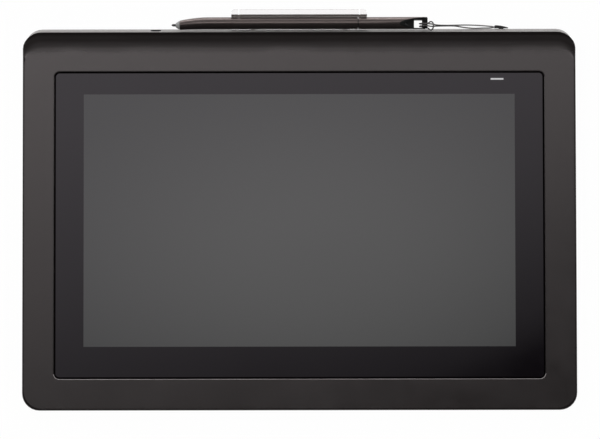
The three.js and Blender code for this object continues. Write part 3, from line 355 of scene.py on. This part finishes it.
def make_tail_seal(material):
    """A black seal that fills the joint in front of the tail cap, below the slanted cut"""
    axis = box_middle("pen_rear_barrel")
    first, last = TAIL_SEAL_ARC
    vertices = []
    faces = []
    for step in range(TAIL_SEAL_STEPS + 1):
        angle = first + (last - first) * step / TAIL_SEAL_STEPS
        inner, outer = (
            TILT @ Vector((0, radius * math.cos(angle), radius * math.sin(angle)))
            for radius in TAIL_SEAL_RADII)
        for x, off in zip(TAIL_JOINT + TAIL_JOINT[::-1], (inner, inner, outer, outer)):
            vertices.append(Vector((x, axis.y, axis.z)) + off)
    for step in range(TAIL_SEAL_STEPS):
        for k in range(4):
            n = (k + 1) % 4
            faces.append((4 * step + k, 4 * step + 4 + k, 4 * step + 4 + n, 4 * step + n))
    faces.append((0, 1, 2, 3))
    faces.append(tuple(4 * TAIL_SEAL_STEPS + k for k in (3, 2, 1, 0)))
    seal = new_piece("pen_tail_seal", vertices, faces, material)
    soften(seal)
    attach(seal, "pen")


# Node trees and colours

# A mix node's two inputs and its output, for each kind of value
MIX_SOCKETS = {"FLOAT": (2, 3, 0), "RGBA": (6, 7, 2)}

# The stretch of the axes that turns a distance from a point into one from a line along x
ROUND_X_AXIS = (0, 1, 1)


class Shader:
    """The node tree of a material or a world, built one node at a time"""

    def __init__(self, owner):
        self.owner = owner
        owner.use_nodes = True
        self.tree = owner.node_tree
        self.tree.nodes.clear()

    def node(self, kind, inputs=None, **settings):
        node = self.tree.nodes.new("ShaderNode" + kind)
        for key, value in settings.items():
            setattr(node, key, value)
        for key, value in (inputs or {}).items():
            if isinstance(value, bpy.types.NodeSocket):
                self.tree.links.new(value, node.inputs[key])
            else:
                node.inputs[key].default_value = value
        return node

    def place(self):
        return self.node("TexCoord").outputs["Object"]

    def axes(self, vector):
        """A vector's X, Y and Z"""
        return self.node("SeparateXYZ", {0: vector}).outputs

    def noise(self, scale, detail=3, roughness=0.5, vector=None):
        return self.node("TexNoise", {
            "Vector": vector or self.place(), "Scale": scale, "Detail": detail, "Roughness": roughness,
        }).outputs["Fac"]

    def spread(self, value, low, high, start=NOISE_LOW, end=NOISE_HIGH, smooth=False):
        """A value between start and end, spread from low to high"""
        return self.node("MapRange", {
            "Value": value, "From Min": start, "From Max": end, "To Min": low, "To Max": high,
        }, interpolation_type="SMOOTHSTEP" if smooth else "LINEAR").outputs["Result"]

    def math(self, operation, first, second=0.0):
        return self.node("Math", {0: first, 1: second}, operation=operation).outputs[0]

    def times(self, first, second):
        return self.math("MULTIPLY", first, second)

    def apart(self, first, second):
        """How far two values are from each other"""
        return self.math("ABSOLUTE", self.math("SUBTRACT", first, second))

    def distance(self, vector, centre, stretch):
        """Distance of a place from a centre, after each axis is stretched"""
        off = self.node("VectorMath", {0: vector, 1: centre}, operation="SUBTRACT").outputs["Vector"]
        shaped = self.node("VectorMath", {0: off, 1: stretch}, operation="MULTIPLY").outputs["Vector"]
        return self.node("VectorMath", {0: shaped}, operation="LENGTH").outputs["Value"]

    def mix(self, factor, first, second, kind="RGBA"):
        a, b, result = MIX_SOCKETS[kind]
        return self.node("Mix", {"Factor": factor, a: first, b: second}, data_type=kind).outputs[result]

    def tones(self, factor, colour, darker, lighter):
        """A colour that wanders between a darker and a lighter share of itself"""
        return self.mix(factor, shade(colour, darker), shade(colour, lighter))

    def rounded(self, radius):
        return self.node("Bevel", {"Radius": radius}, samples=BEVEL_SAMPLES).outputs["Normal"]

    def worn_edges(self, radius):
        """Near 1 on sharp outer edges and 0 on flat ground"""
        sharp = self.node("NewGeometry").outputs["Normal"]
        match = self.node("VectorMath", {0: self.rounded(radius), 1: sharp}, operation="DOT_PRODUCT")
        return self.spread(match.outputs["Value"], 1, 0, 0.75, 0.995)

    def bump(self, height, distance, strength, normal=None):
        inputs = {"Height": height, "Distance": distance, "Strength": strength}
        if normal is not None:
            inputs["Normal"] = normal
        return self.node("Bump", inputs).outputs["Normal"]

    def surface(self, inputs):
        shader = self.node("BsdfPrincipled", inputs)
        self.node("OutputMaterial", {"Surface": shader.outputs[0]})
        return self.owner


def new_shader(name):
    return Shader(bpy.data.materials.new(name))


def grey(value, warmth=0.0):
    return (value * (1 + warmth), value, value * (1 - warmth), 1)


def shade(colour, share):
    return tuple(min(1, c * share) for c in colour[:3]) + (1,)


# Places on the face, the pen and the rear

def face_place(s):
    """Places on the face from an object-space place, by undoing the face's tilt"""
    return s.node("Mapping", {
        "Vector": s.place(), "Location": tuple(FACE_ORIGIN), "Rotation": (FACE_TILT, 0, 0),
    }, vector_type="TEXTURE").outputs["Vector"]


def rectangle_mask(s, vector, x, y, width, length):
    """1 inside a printed rectangle of the face and 0 outside"""
    at = s.axes(vector)
    masks = [
        s.spread(s.apart(at[axis], middle), 1, 0, size / 2 - PRINT_EDGE, size / 2 + PRINT_EDGE)
        for axis, middle, size in (("X", x, width), ("Y", y, length))
    ]
    return s.times(*masks)


def pen_axis_distance(s):
    return s.distance(s.place(), tuple(box_middle("pen_rear_barrel")), ROUND_X_AXIS)


def rear_painted_shade(s):
    """Painted shade: 1 along the parting line and inside the lock slot, which are painted near black as if
    in shadow
    """
    place = face_place(s)
    at = s.axes(place)
    seam_shade = s.spread(at["Z"], 0, 1, PARTING_Z - PARTING_HALF, PARTING_Z + PARTING_HALF)
    reach = s.distance(place, WALL_ARC, ROUND_X_AXIS)
    inside = s.spread(reach, 1, 0, WALL_ARC_RADIUS - WALL_SKIN[0], WALL_ARC_RADIUS - WALL_SKIN[1])
    beside = s.apart(at["X"], LOCK_X)
    slot = s.times(inside, s.spread(beside, 1, 0, LOCK_HALF_WIDTH, LOCK_HALF_WIDTH + LOCK_EDGE))
    return s.math("MAXIMUM", seam_shade, slot)


def roll_gloss(s, face_gloss):
    """Specular level of the front shell, even on its face and fading down the roll, and the added
    roughness of the roll"""
    at = s.axes(face_place(s))
    depth = s.math("MAXIMUM", s.times(at["Z"], -1 / ROLL_FADE_DEPTH), 0.0)
    on_roll = s.spread(at["Y"], 0, 1, ROLL_START - ROLL_LEAD, ROLL_START)
    fall = s.times(s.math("SQRT", depth), on_roll)
    fading = s.spread(fall, face_gloss, ROLL_FADED_GLOSS, 0, 1)
    level = s.times(fading, s.spread(at["Z"], 0, 1, *ROLL_DARK_HEIGHTS))
    past_start = s.math("SUBTRACT", at["Y"], ROLL_START)
    rougher = s.spread(past_start, 0, ROLL_ROUGHNESS, -ROLL_ROUGH_REACH, ROLL_ROUGH_REACH)
    return level, rougher


# Materials

def moulded_plastic(
        name, colour, roughness, grain=3200, depth=0.02 * MM, edge=0.25 * MM,
        face_gloss=None, painted_shade=None):
    """Spark-textured moulded plastic: fine pebbling, slow mottling, slightly paler edges, and near-black
    painted shade where a shade mask is given
    """
    s = new_shader(name)
    mottle = s.noise(38, detail=4, roughness=0.6)
    pebble = s.noise(grain, detail=2, roughness=0.6)
    tone = s.tones(s.spread(mottle, 0, 1), colour, 0.93, 1.07)
    coloured = s.mix(s.worn_edges(edge), tone, shade(colour, WORN_SHARE))
    # Painted shade: near black wherever the shade mask is 1
    if painted_shade:
        coloured = s.mix(painted_shade(s), coloured, grey(0.01))
    inputs = {
        "Base Color": coloured,
        "Roughness": s.spread(mottle, roughness - 0.05, roughness + 0.05),
        "Normal": s.bump(pebble, depth, strength=0.6, normal=s.rounded(edge)),
    }
    if face_gloss:
        level, rougher = roll_gloss(s, face_gloss)
        inputs["Roughness"] = s.math("ADD", inputs["Roughness"], rougher)
        inputs["Specular IOR Level"] = level
        inputs["Specular Tint"] = (1, 0.92, 0.93, 1)
    return s.surface(inputs)


def printed_glass():
    """Cover glass: a glossy front over a black printed border, the grey display with a painted pool of
    light on it, and the indicator window
    """
    s = new_shader("printed_glass")
    place = face_place(s)
    display = rectangle_mask(s, place, 0, DISPLAY_CENTRE_Y, DISPLAY_WIDTH, DISPLAY_LENGTH)
    dash = rectangle_mask(s, place, DASH_X, DASH_Y, DASH_WIDTH, DASH_LENGTH)
    reach = s.distance(place, PAINTED_LIGHT_CENTRE, (1 / DISPLAY_WIDTH, 1 / DISPLAY_LENGTH, 0))
    # Painted light: the grey display is paler round a centre and darker towards its edges
    painted_light_falloff = s.spread(reach, 0, 1, *PAINTED_LIGHT_REACH, smooth=True)
    painted_light = s.mix(painted_light_falloff, (0.084, 0.085, 0.084, 1), (0.04, 0.041, 0.041, 1))
    cloud = s.noise(14, detail=3, roughness=0.5)
    border = s.mix(s.spread(cloud, 0, 1), (0.0026, 0.0016, 0.0028, 1), (0.0042, 0.0034, 0.0044, 1))
    inner = s.mix(display, border, painted_light)
    smears = s.noise(60, detail=5, roughness=0.7)
    return s.surface({
        "Base Color": s.mix(dash, inner, (0.62, 0.62, 0.63, 1)),
        "Roughness": s.spread(smears, 0.03, 0.07),
        "Normal": s.bump(s.noise(6, detail=1), 0.01 * MM, strength=0.2, normal=s.rounded(0.15 * MM)),
        "IOR": 1.5,
        "Specular Tint": (1, 0.93, 1.0, 1),
    })


def clear_plastic():
    """Clear plastic. Its lip edge and upright wall carry painted shade and a painted reflection of the pen,
    in its dark brown, and its near wall hardly shows
    """
    s = new_shader("clear_plastic")
    haze = s.noise(90, detail=4, roughness=0.6)
    axis = box_middle("pen_rear_barrel")
    at = s.axes(s.place())
    back = s.math("SUBTRACT", at["Y"], axis.y)
    height = s.math("SUBTRACT", at["Z"], axis.z)
    beside_pen = s.spread(pen_axis_distance(s), 1, 0, *UPRIGHT_REACH)
    upright_shade = s.times(beside_pen, s.spread(height, 0, 1, *UPRIGHT_FOOT))
    edge = s.times(s.spread(back, 1, 0, *LIP_EDGE_BACK), s.spread(height, 0, 1, *LIP_EDGE_HEIGHT))
    # Painted shade and painted reflection of the pen: the upright wall is tinted dark brown and made partly
    # opaque
    shade_tinted = s.mix(upright_shade, (0.97, 0.95, 0.95, 1), (0.185, 0.132, 0.112, 1))
    solid = s.math("MAXIMUM", edge, s.times(upright_shade, UPRIGHT_SOLID))
    near_wall = s.spread(back, 1, 0, *NEAR_WALL_BACK)
    return s.surface({
        # Painted shade: the lip edge is painted a near-black brown
        "Base Color": s.mix(edge, shade_tinted, (0.052, 0.037, 0.03, 1)),
        "Roughness": s.math("ADD", s.spread(haze, 0.02, 0.09), s.times(solid, 0.5)),
        "Transmission Weight": s.math("SUBTRACT", 1.0, solid),
        "IOR": 1.49,
        "Specular IOR Level": s.spread(solid, 0.5, 0.03, 0, 1),
        "Alpha": s.spread(near_wall, 1, NEAR_WALL_ALPHA, 0, 1),
        "Normal": s.bump(s.noise(240, detail=2), 0.006 * MM, strength=0.5, normal=s.rounded(0.2 * MM)),
    })


def satin_pen(name, colour):
    """Satin lacquer with fine metal flake, black where the tail is cut open and in the barrels' joint"""
    s = new_shader(name)
    along = s.axes(s.place())["X"]
    cut = s.times(
        s.spread(pen_axis_distance(s), 1, 0, *PEN_SKIN), s.math("GREATER_THAN", along, TAIL_CUT_START))
    from_joint = s.apart(along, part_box("pen_front_barrel")[1][0] + BARREL_JOINT_OFFSET)
    black = s.math("MAXIMUM", cut, s.spread(from_joint, 1, 0, *BARREL_JOINT_EDGE))
    flake = s.noise(5200, detail=1, roughness=0.4)
    drift = s.noise(60, detail=3, roughness=0.5)
    tone = s.tones(s.spread(drift, 0, 1), colour, 0.94, 1.06)
    flecked = s.mix(s.spread(flake, 0, 0.18, 0.62, 0.8), tone, grey(0.5, 0.06))
    return s.surface({
        "Base Color": s.mix(black, flecked, grey(0.008)),
        "Metallic": s.spread(black, 0.9, 0, 0, 1),
        "Roughness": s.spread(drift, 0.29, 0.34),
        "Normal": s.bump(flake, 0.003 * MM, strength=0.5, normal=s.rounded(0.15 * MM)),
    })


def rolled_steel(name, colour, roughness):
    """Steel with fine lines from the rolls"""
    s = new_shader(name)
    stretched = s.node("Mapping", {"Vector": s.place(), "Scale": STEEL_LINES}).outputs["Vector"]
    lines = s.noise(900, detail=3, roughness=0.6, vector=stretched)
    return s.surface({
        "Base Color": s.tones(s.spread(lines, 0, 1), colour, 0.88, 1),
        "Metallic": 1.0,
        "Roughness": s.spread(lines, roughness - 0.06, roughness + 0.08),
        "Normal": s.bump(lines, 0.004 * MM, strength=0.4, normal=s.rounded(0.1 * MM)),
    })


def foot_rubber():
    """Dull rubber with a little dust on it"""
    s = new_shader("foot_rubber")
    grain = s.noise(2400, detail=3, roughness=0.7)
    dust = s.noise(160, detail=4, roughness=0.6)
    return s.surface({
        "Base Color": s.mix(s.spread(dust, 0, 1, 0.45, 0.8), grey(0.013), (0.05, 0.048, 0.045, 1)),
        "Roughness": s.spread(dust, 0.72, 0.92),
        "Normal": s.bump(grain, 0.03 * MM, strength=0.6, normal=s.rounded(0.2 * MM)),
        "Specular IOR Level": 0.35,
    })


def twisted_fibre():
    """Thin cord: a fuzzy twist along its length, paler where its two strands run free"""
    s = new_shader("tether_fibre")
    weave = s.node("TexWave", {
        "Vector": s.place(), "Scale": 900, "Distortion": 2.0, "Detail": 2,
    }, wave_type="BANDS", bands_direction="DIAGONAL").outputs["Fac"]
    fuzz = s.noise(3000, detail=3, roughness=0.7)
    twist = s.spread(weave, 0, 1, 0.2, 0.8)
    dark = s.mix(twist, (0.02, 0.018, 0.018, 1), (0.11, 0.1, 0.1, 1))
    pale = s.mix(twist, (0.1, 0.095, 0.095, 1), (0.3, 0.29, 0.29, 1))
    loose = s.spread(s.axes(s.place())["X"], 0, 1, *FREE_STRANDS_START)
    return s.surface({
        "Base Color": s.mix(loose, dark, pale),
        "Roughness": s.spread(fuzz, 0.5, 0.8),
        "Normal": s.bump(s.math("ADD", weave, fuzz), 0.05 * MM, strength=0.8),
        "Sheen Weight": 0.3,
    })


def circuit_board():
    """Green resist over a pattern of tracks"""
    s = new_shader("circuit_board")
    tracks = s.node("TexBrick", {
        "Vector": s.place(), "Scale": 240, "Mortar Size": 0.012,
        "Color1": (0.012, 0.06, 0.026, 1), "Color2": (0.016, 0.075, 0.032, 1),
        "Mortar": (0.05, 0.14, 0.05, 1),
    }).outputs["Color"]
    return s.surface({
        "Base Color": tracks,
        "Roughness": s.spread(s.noise(300), 0.3, 0.45),
        "Normal": s.bump(s.noise(900), 0.01 * MM, strength=0.4),
    })


def coiled_copper():
    """Turns of fine wire across the pen's axis"""
    s = new_shader("coil_copper")
    turns = s.node("TexWave", {"Vector": s.place(), "Scale": 1600}, bands_direction="X").outputs["Fac"]
    return s.surface({
        "Base Color": s.mix(turns, (0.3, 0.11, 0.04, 1), (0.7, 0.32, 0.16, 1)),
        "Metallic": 1.0,
        "Roughness": s.spread(s.noise(500), 0.25, 0.4),
        "Normal": s.bump(turns, 0.05 * MM, strength=0.8),
    })


def make_materials():
    """Each material slot's material"""
    return {
        "front_shell": moulded_plastic("front_shell", (0.0105, 0.0088, 0.0086, 1), 0.15, face_gloss=0.76),
        # The rear shell gets painted shade along its parting line and in its lock slot
        "rear_shell": moulded_plastic(
            "rear_shell", (0.326, 0.309, 0.303, 1), 0.42, grain=2600, painted_shade=rear_painted_shade),
        "printed_glass": printed_glass(),
        "display_glass": moulded_plastic("display_glass", grey(0.09), 0.2, depth=0.004 * MM),
        "black_foam": moulded_plastic("black_foam", grey(0.01), 0.85, grain=1800),
        "white_plastic": moulded_plastic("white_plastic", grey(0.7, 0.01), 0.5),
        "circuit_board": circuit_board(),
        "sheet_steel": rolled_steel("sheet_steel", (0.55, 0.56, 0.57, 1), 0.36),
        "screw_steel": rolled_steel("screw_steel", (0.2, 0.2, 0.205, 1), 0.4),
        "ribbon_film": moulded_plastic("ribbon_film", (0.4, 0.16, 0.03, 1), 0.3),
        "chip_resin": moulded_plastic("chip_resin", grey(0.013), 0.6),
        "black_plastic": moulded_plastic("black_plastic", (0.011, 0.0105, 0.0105, 1), 0.36, grain=2800),
        "clear_plastic": clear_plastic(),
        "tether_fabric": twisted_fibre(),
        "foot_rubber": foot_rubber(),
        "nib_plastic": moulded_plastic("nib_plastic", grey(0.045), 0.4, edge=0.08 * MM),
        "nose_plastic": moulded_plastic("nose_plastic", grey(0.3), 0.34, depth=0.006 * MM, edge=0.1 * MM),
        "pen_plastic": satin_pen("pen_plastic", (0.15, 0.123, 0.118, 1)),
        "coil_copper": coiled_copper(),
    }


# Finish of the pieces

def soften(piece, degrees=SHARP_DEGREES):
    """Shades curved ground smoothly and leaves the edges sharp"""
    mesh = piece.data
    if "custom_normal" in mesh.attributes:
        mesh.attributes.remove(mesh.attributes["custom_normal"])
    mesh.polygons.foreach_set("use_smooth", [True] * len(mesh.polygons))
    weld = piece.modifiers.new("weld", "WELD")
    weld.merge_threshold = WELD_DISTANCE
    flat = piece.modifiers.new("flat_ground", "DECIMATE")
    flat.decimate_type = "DISSOLVE"
    flat.angle_limit = math.radians(FLAT_DEGREES)
    split = piece.modifiers.new("edge_split", "EDGE_SPLIT")
    split.split_angle = math.radians(degrees)
    split.use_edge_sharp = False
    normals = piece.modifiers.new("weighted_normals", "WEIGHTED_NORMAL")
    normals.weight = AREA_WEIGHT


def finish_nodes(materials):
    slots = {part["node"]: part["material_slot"] for part in frame["record"]["subparts"]}
    for name, piece in NODES.items():
        for slot in piece.material_slots:
            slot.material = materials[slots[name]]
        soften(piece)


# Screws with a cross recess, in place of the plain ones

def ring_points(radius, height):
    angles = [2 * math.pi * k / SCREW_SIDES for k in range(SCREW_SIDES)]
    return [Vector((radius * math.cos(angle), radius * math.sin(angle), height)) for angle in angles]


def cross_points(head, cap, recess):
    """A cross whose arms narrow slightly outwards, anticlockwise"""
    reach, half_width, height = head * recess[0], head * recess[1], cap * recess[2]
    half_end = half_width * ARM_END_SHARE
    arm = [(reach, -half_end), (reach, half_end), (half_width, half_width)]
    points = []
    for quarter in range(4):
        turn = Matrix.Rotation(quarter * math.pi / 2, 2)
        points += [turn @ Vector(corner) for corner in arm]
    return [Vector((point.x, point.y, height)) for point in points]


def screw_mesh(head, cap, shank, length):
    """A pan head from z 0 up to its cap height, and a pointed shank below it"""
    thread = shank * 0.94
    profile = [
        (shank * 0.5, -length), (thread, -length + shank * 0.6), (thread, -shank * 0.4), (shank, 0),
        (head * 0.97, 0), (head, cap * 0.08), (head, cap * 0.5), (head * 0.95, cap * 0.75),
        (head * 0.86, cap * 0.94), (head * 0.78, cap),
    ]
    vertices = []
    faces = []
    for radius, height in profile:
        vertices += ring_points(radius, height)
    for row in range(len(profile) - 1):
        base = row * SCREW_SIDES
        for k in range(SCREW_SIDES):
            n = (k + 1) % SCREW_SIDES
            faces.append((base + k, base + n, base + SCREW_SIDES + n, base + SCREW_SIDES + k))
    faces.append(tuple(reversed(range(SCREW_SIDES))))
    rim = list(range((len(profile) - 1) * SCREW_SIDES, len(profile) * SCREW_SIDES))
    mouth = cross_points(head, cap, RECESS_MOUTH)
    floor = cross_points(head, cap, RECESS_FLOOR)
    start = len(vertices)
    vertices += mouth + floor
    mouth_ids = list(range(start, start + len(mouth)))
    floor_ids = list(range(start + len(mouth), start + 2 * len(mouth)))
    loops = [[vertices[i] for i in rim], [vertices[i] for i in reversed(mouth_ids)]]
    ids = rim + list(reversed(mouth_ids))
    for a, b, c in tessellate_polygon(loops):
        upward = (vertices[ids[b]] - vertices[ids[a]]).cross(vertices[ids[c]] - vertices[ids[a]]).z > 0
        faces.append((ids[a], ids[b], ids[c]) if upward else (ids[a], ids[c], ids[b]))
    for k in range(len(mouth)):
        n = (k + 1) % len(mouth)
        faces.append((mouth_ids[k], mouth_ids[n], floor_ids[n], floor_ids[k]))
    centre = len(vertices)
    vertices.append(Vector((0, 0, cap * RECESS_POINT)))
    for k in range(len(mouth)):
        faces.append((floor_ids[k], floor_ids[(k + 1) % len(mouth)], centre))
    return vertices, faces


def make_screw(node, outward, sizes, turn, material):
    """A crosshead screw on the axis of the plain one, whose head faces outward"""
    piece = NODES[node]
    places = [piece.matrix_world @ vertex.co for vertex in piece.data.vertices]
    middle = sum(places, Vector()) / len(places)
    crown = max(place.dot(outward) for place in places)
    seat = middle + outward * (crown - middle.dot(outward) - sizes[1])
    stance = outward.to_track_quat("Z", "Y").to_matrix() @ Matrix.Rotation(math.radians(turn), 3, "Z")
    vertices, faces = screw_mesh(*sizes)
    screw = new_piece(node + "_cross", [seat + stance @ vertex for vertex in vertices], faces, material)
    soften(screw, SCREW_SHARP_DEGREES)
    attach(screw, "pad")
    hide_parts(node)


def make_screws(material):
    for kind, count, outward, sizes, turn in SCREW_KINDS:
        for number in range(1, count + 1):
            make_screw(f"{kind}_{number}", TILT @ Vector(outward), sizes, turn * number, material)


# Studio

def make_floor():
    """A pale floor that looks white, also in gloss and through clear plastic, and is open from below"""
    left, right = FLOOR_ASIDE - FLOOR_REACH, FLOOR_ASIDE + FLOOR_REACH
    corners = [
        (left, -FLOOR_REACH, FLOOR_HEIGHT), (right, -FLOOR_REACH, FLOOR_HEIGHT),
        (right, FLOOR_REACH, FLOOR_HEIGHT), (left, FLOOR_REACH, FLOOR_HEIGHT),
    ]
    s = new_shader("floor")
    seen = s.node("LightPath").outputs
    direct = s.math("MAXIMUM", seen["Is Camera Ray"], seen["Is Glossy Ray"])
    clear = s.math("MAXIMUM", direct, seen["Is Transmission Ray"])
    plain = s.node("BsdfDiffuse", {"Color": s.mix(s.spread(s.noise(3), 0, 1), grey(0.86), grey(0.88))})
    white = s.node("Emission", {"Color": grey(1), "Strength": 1.0})
    above = s.node("MixShader", {
        0: s.times(clear, FLOOR_WHITE_SHARE), 1: plain.outputs[0], 2: white.outputs[0],
    })
    below = s.node("BsdfTransparent")
    both = s.node("MixShader", {
        0: s.node("NewGeometry").outputs["Backfacing"], 1: above.outputs[0], 2: below.outputs[0],
    })
    s.node("OutputMaterial", {"Surface": both.outputs[0]})
    floor = new_piece("floor", corners, [(0, 1, 2, 3)], s.owner, smooth=False)


def make_world():
    """White to the camera, and to gloss a studio that is bright behind and dark over the user's side"""
    world = bpy.data.worlds.new("studio")
    bpy.context.scene.world = world
    world.cycles.sampling_method = "NONE"
    s = Shader(world)
    to = s.axes(s.node("TexCoord").outputs["Generated"])

    def part(direction, strengths):
        return s.spread(direction, *strengths, smooth=True)

    rearward = s.math("SUBTRACT", to["Y"], s.times(to["X"], OVERHEAD_TURN))
    corner = s.math("SUBTRACT", s.times(to["X"], CORNER_TURN), to["Y"])
    overhead = s.math("ADD", part(rearward, OVERHEAD_OVER_USER), part(rearward, OVERHEAD_BEHIND))
    for direction, strengths in ((to["Z"], OVERHEAD_HEIGHT), (corner, CORNER_FADE), (corner, CORNER_END)):
        overhead = s.times(overhead, part(direction, strengths))
    backdrop = s.math("ADD", part(to["Z"], BACKDROP_HEIGHT), part(to["Z"], BACKDROP_STRIP))
    backdrop = s.times(backdrop, part(to["Y"], BACKDROP_BEHIND))
    gloss = s.math("MAXIMUM", overhead, backdrop)
    seen = s.node("LightPath").outputs
    shown = s.mix(seen["Is Glossy Ray"], AMBIENT_STRENGTH, gloss, kind="FLOAT")
    clear = s.math("MAXIMUM", seen["Is Camera Ray"], seen["Is Transmission Ray"])
    total = s.mix(clear, shown, 1.0, kind="FLOAT")
    background = s.node("Background", {"Color": grey(1), "Strength": total})
    s.node("OutputWorld", {"Surface": background.outputs[0]})


def make_softbox():
    """The one lamp, seen by matt surfaces only: gloss gets its lights from the world"""
    lamp = bpy.data.objects.new("softbox", bpy.data.lights.new("softbox", "AREA"))
    bpy.context.scene.collection.objects.link(lamp)
    lamp.data.shape = "RECTANGLE"
    lamp.data.size = SOFTBOX_SIZE
    lamp.data.size_y = SOFTBOX_SIZE
    lamp.data.energy = SOFTBOX_WATTS
    aim = on_face(0, GLASS_FRONT + GLASS_LENGTH / 2)
    lamp.location = aim + TILT @ Vector(SOFTBOX_PLACE)
    lamp.visible_glossy = False
    lamp.rotation_mode = "QUATERNION"
    lamp.rotation_quaternion = (lamp.location - aim).to_track_quat("Z", "Y")


bpy.context.scene.view_settings.view_transform = "Standard"
MATERIALS = make_materials()
make_camera()
make_tether(MATERIALS["tether_fabric"])
make_tail_seal(MATERIALS["black_plastic"])
make_screws(MATERIALS["screw_steel"])
finish_nodes(MATERIALS)
make_world()
make_floor()
make_softbox()
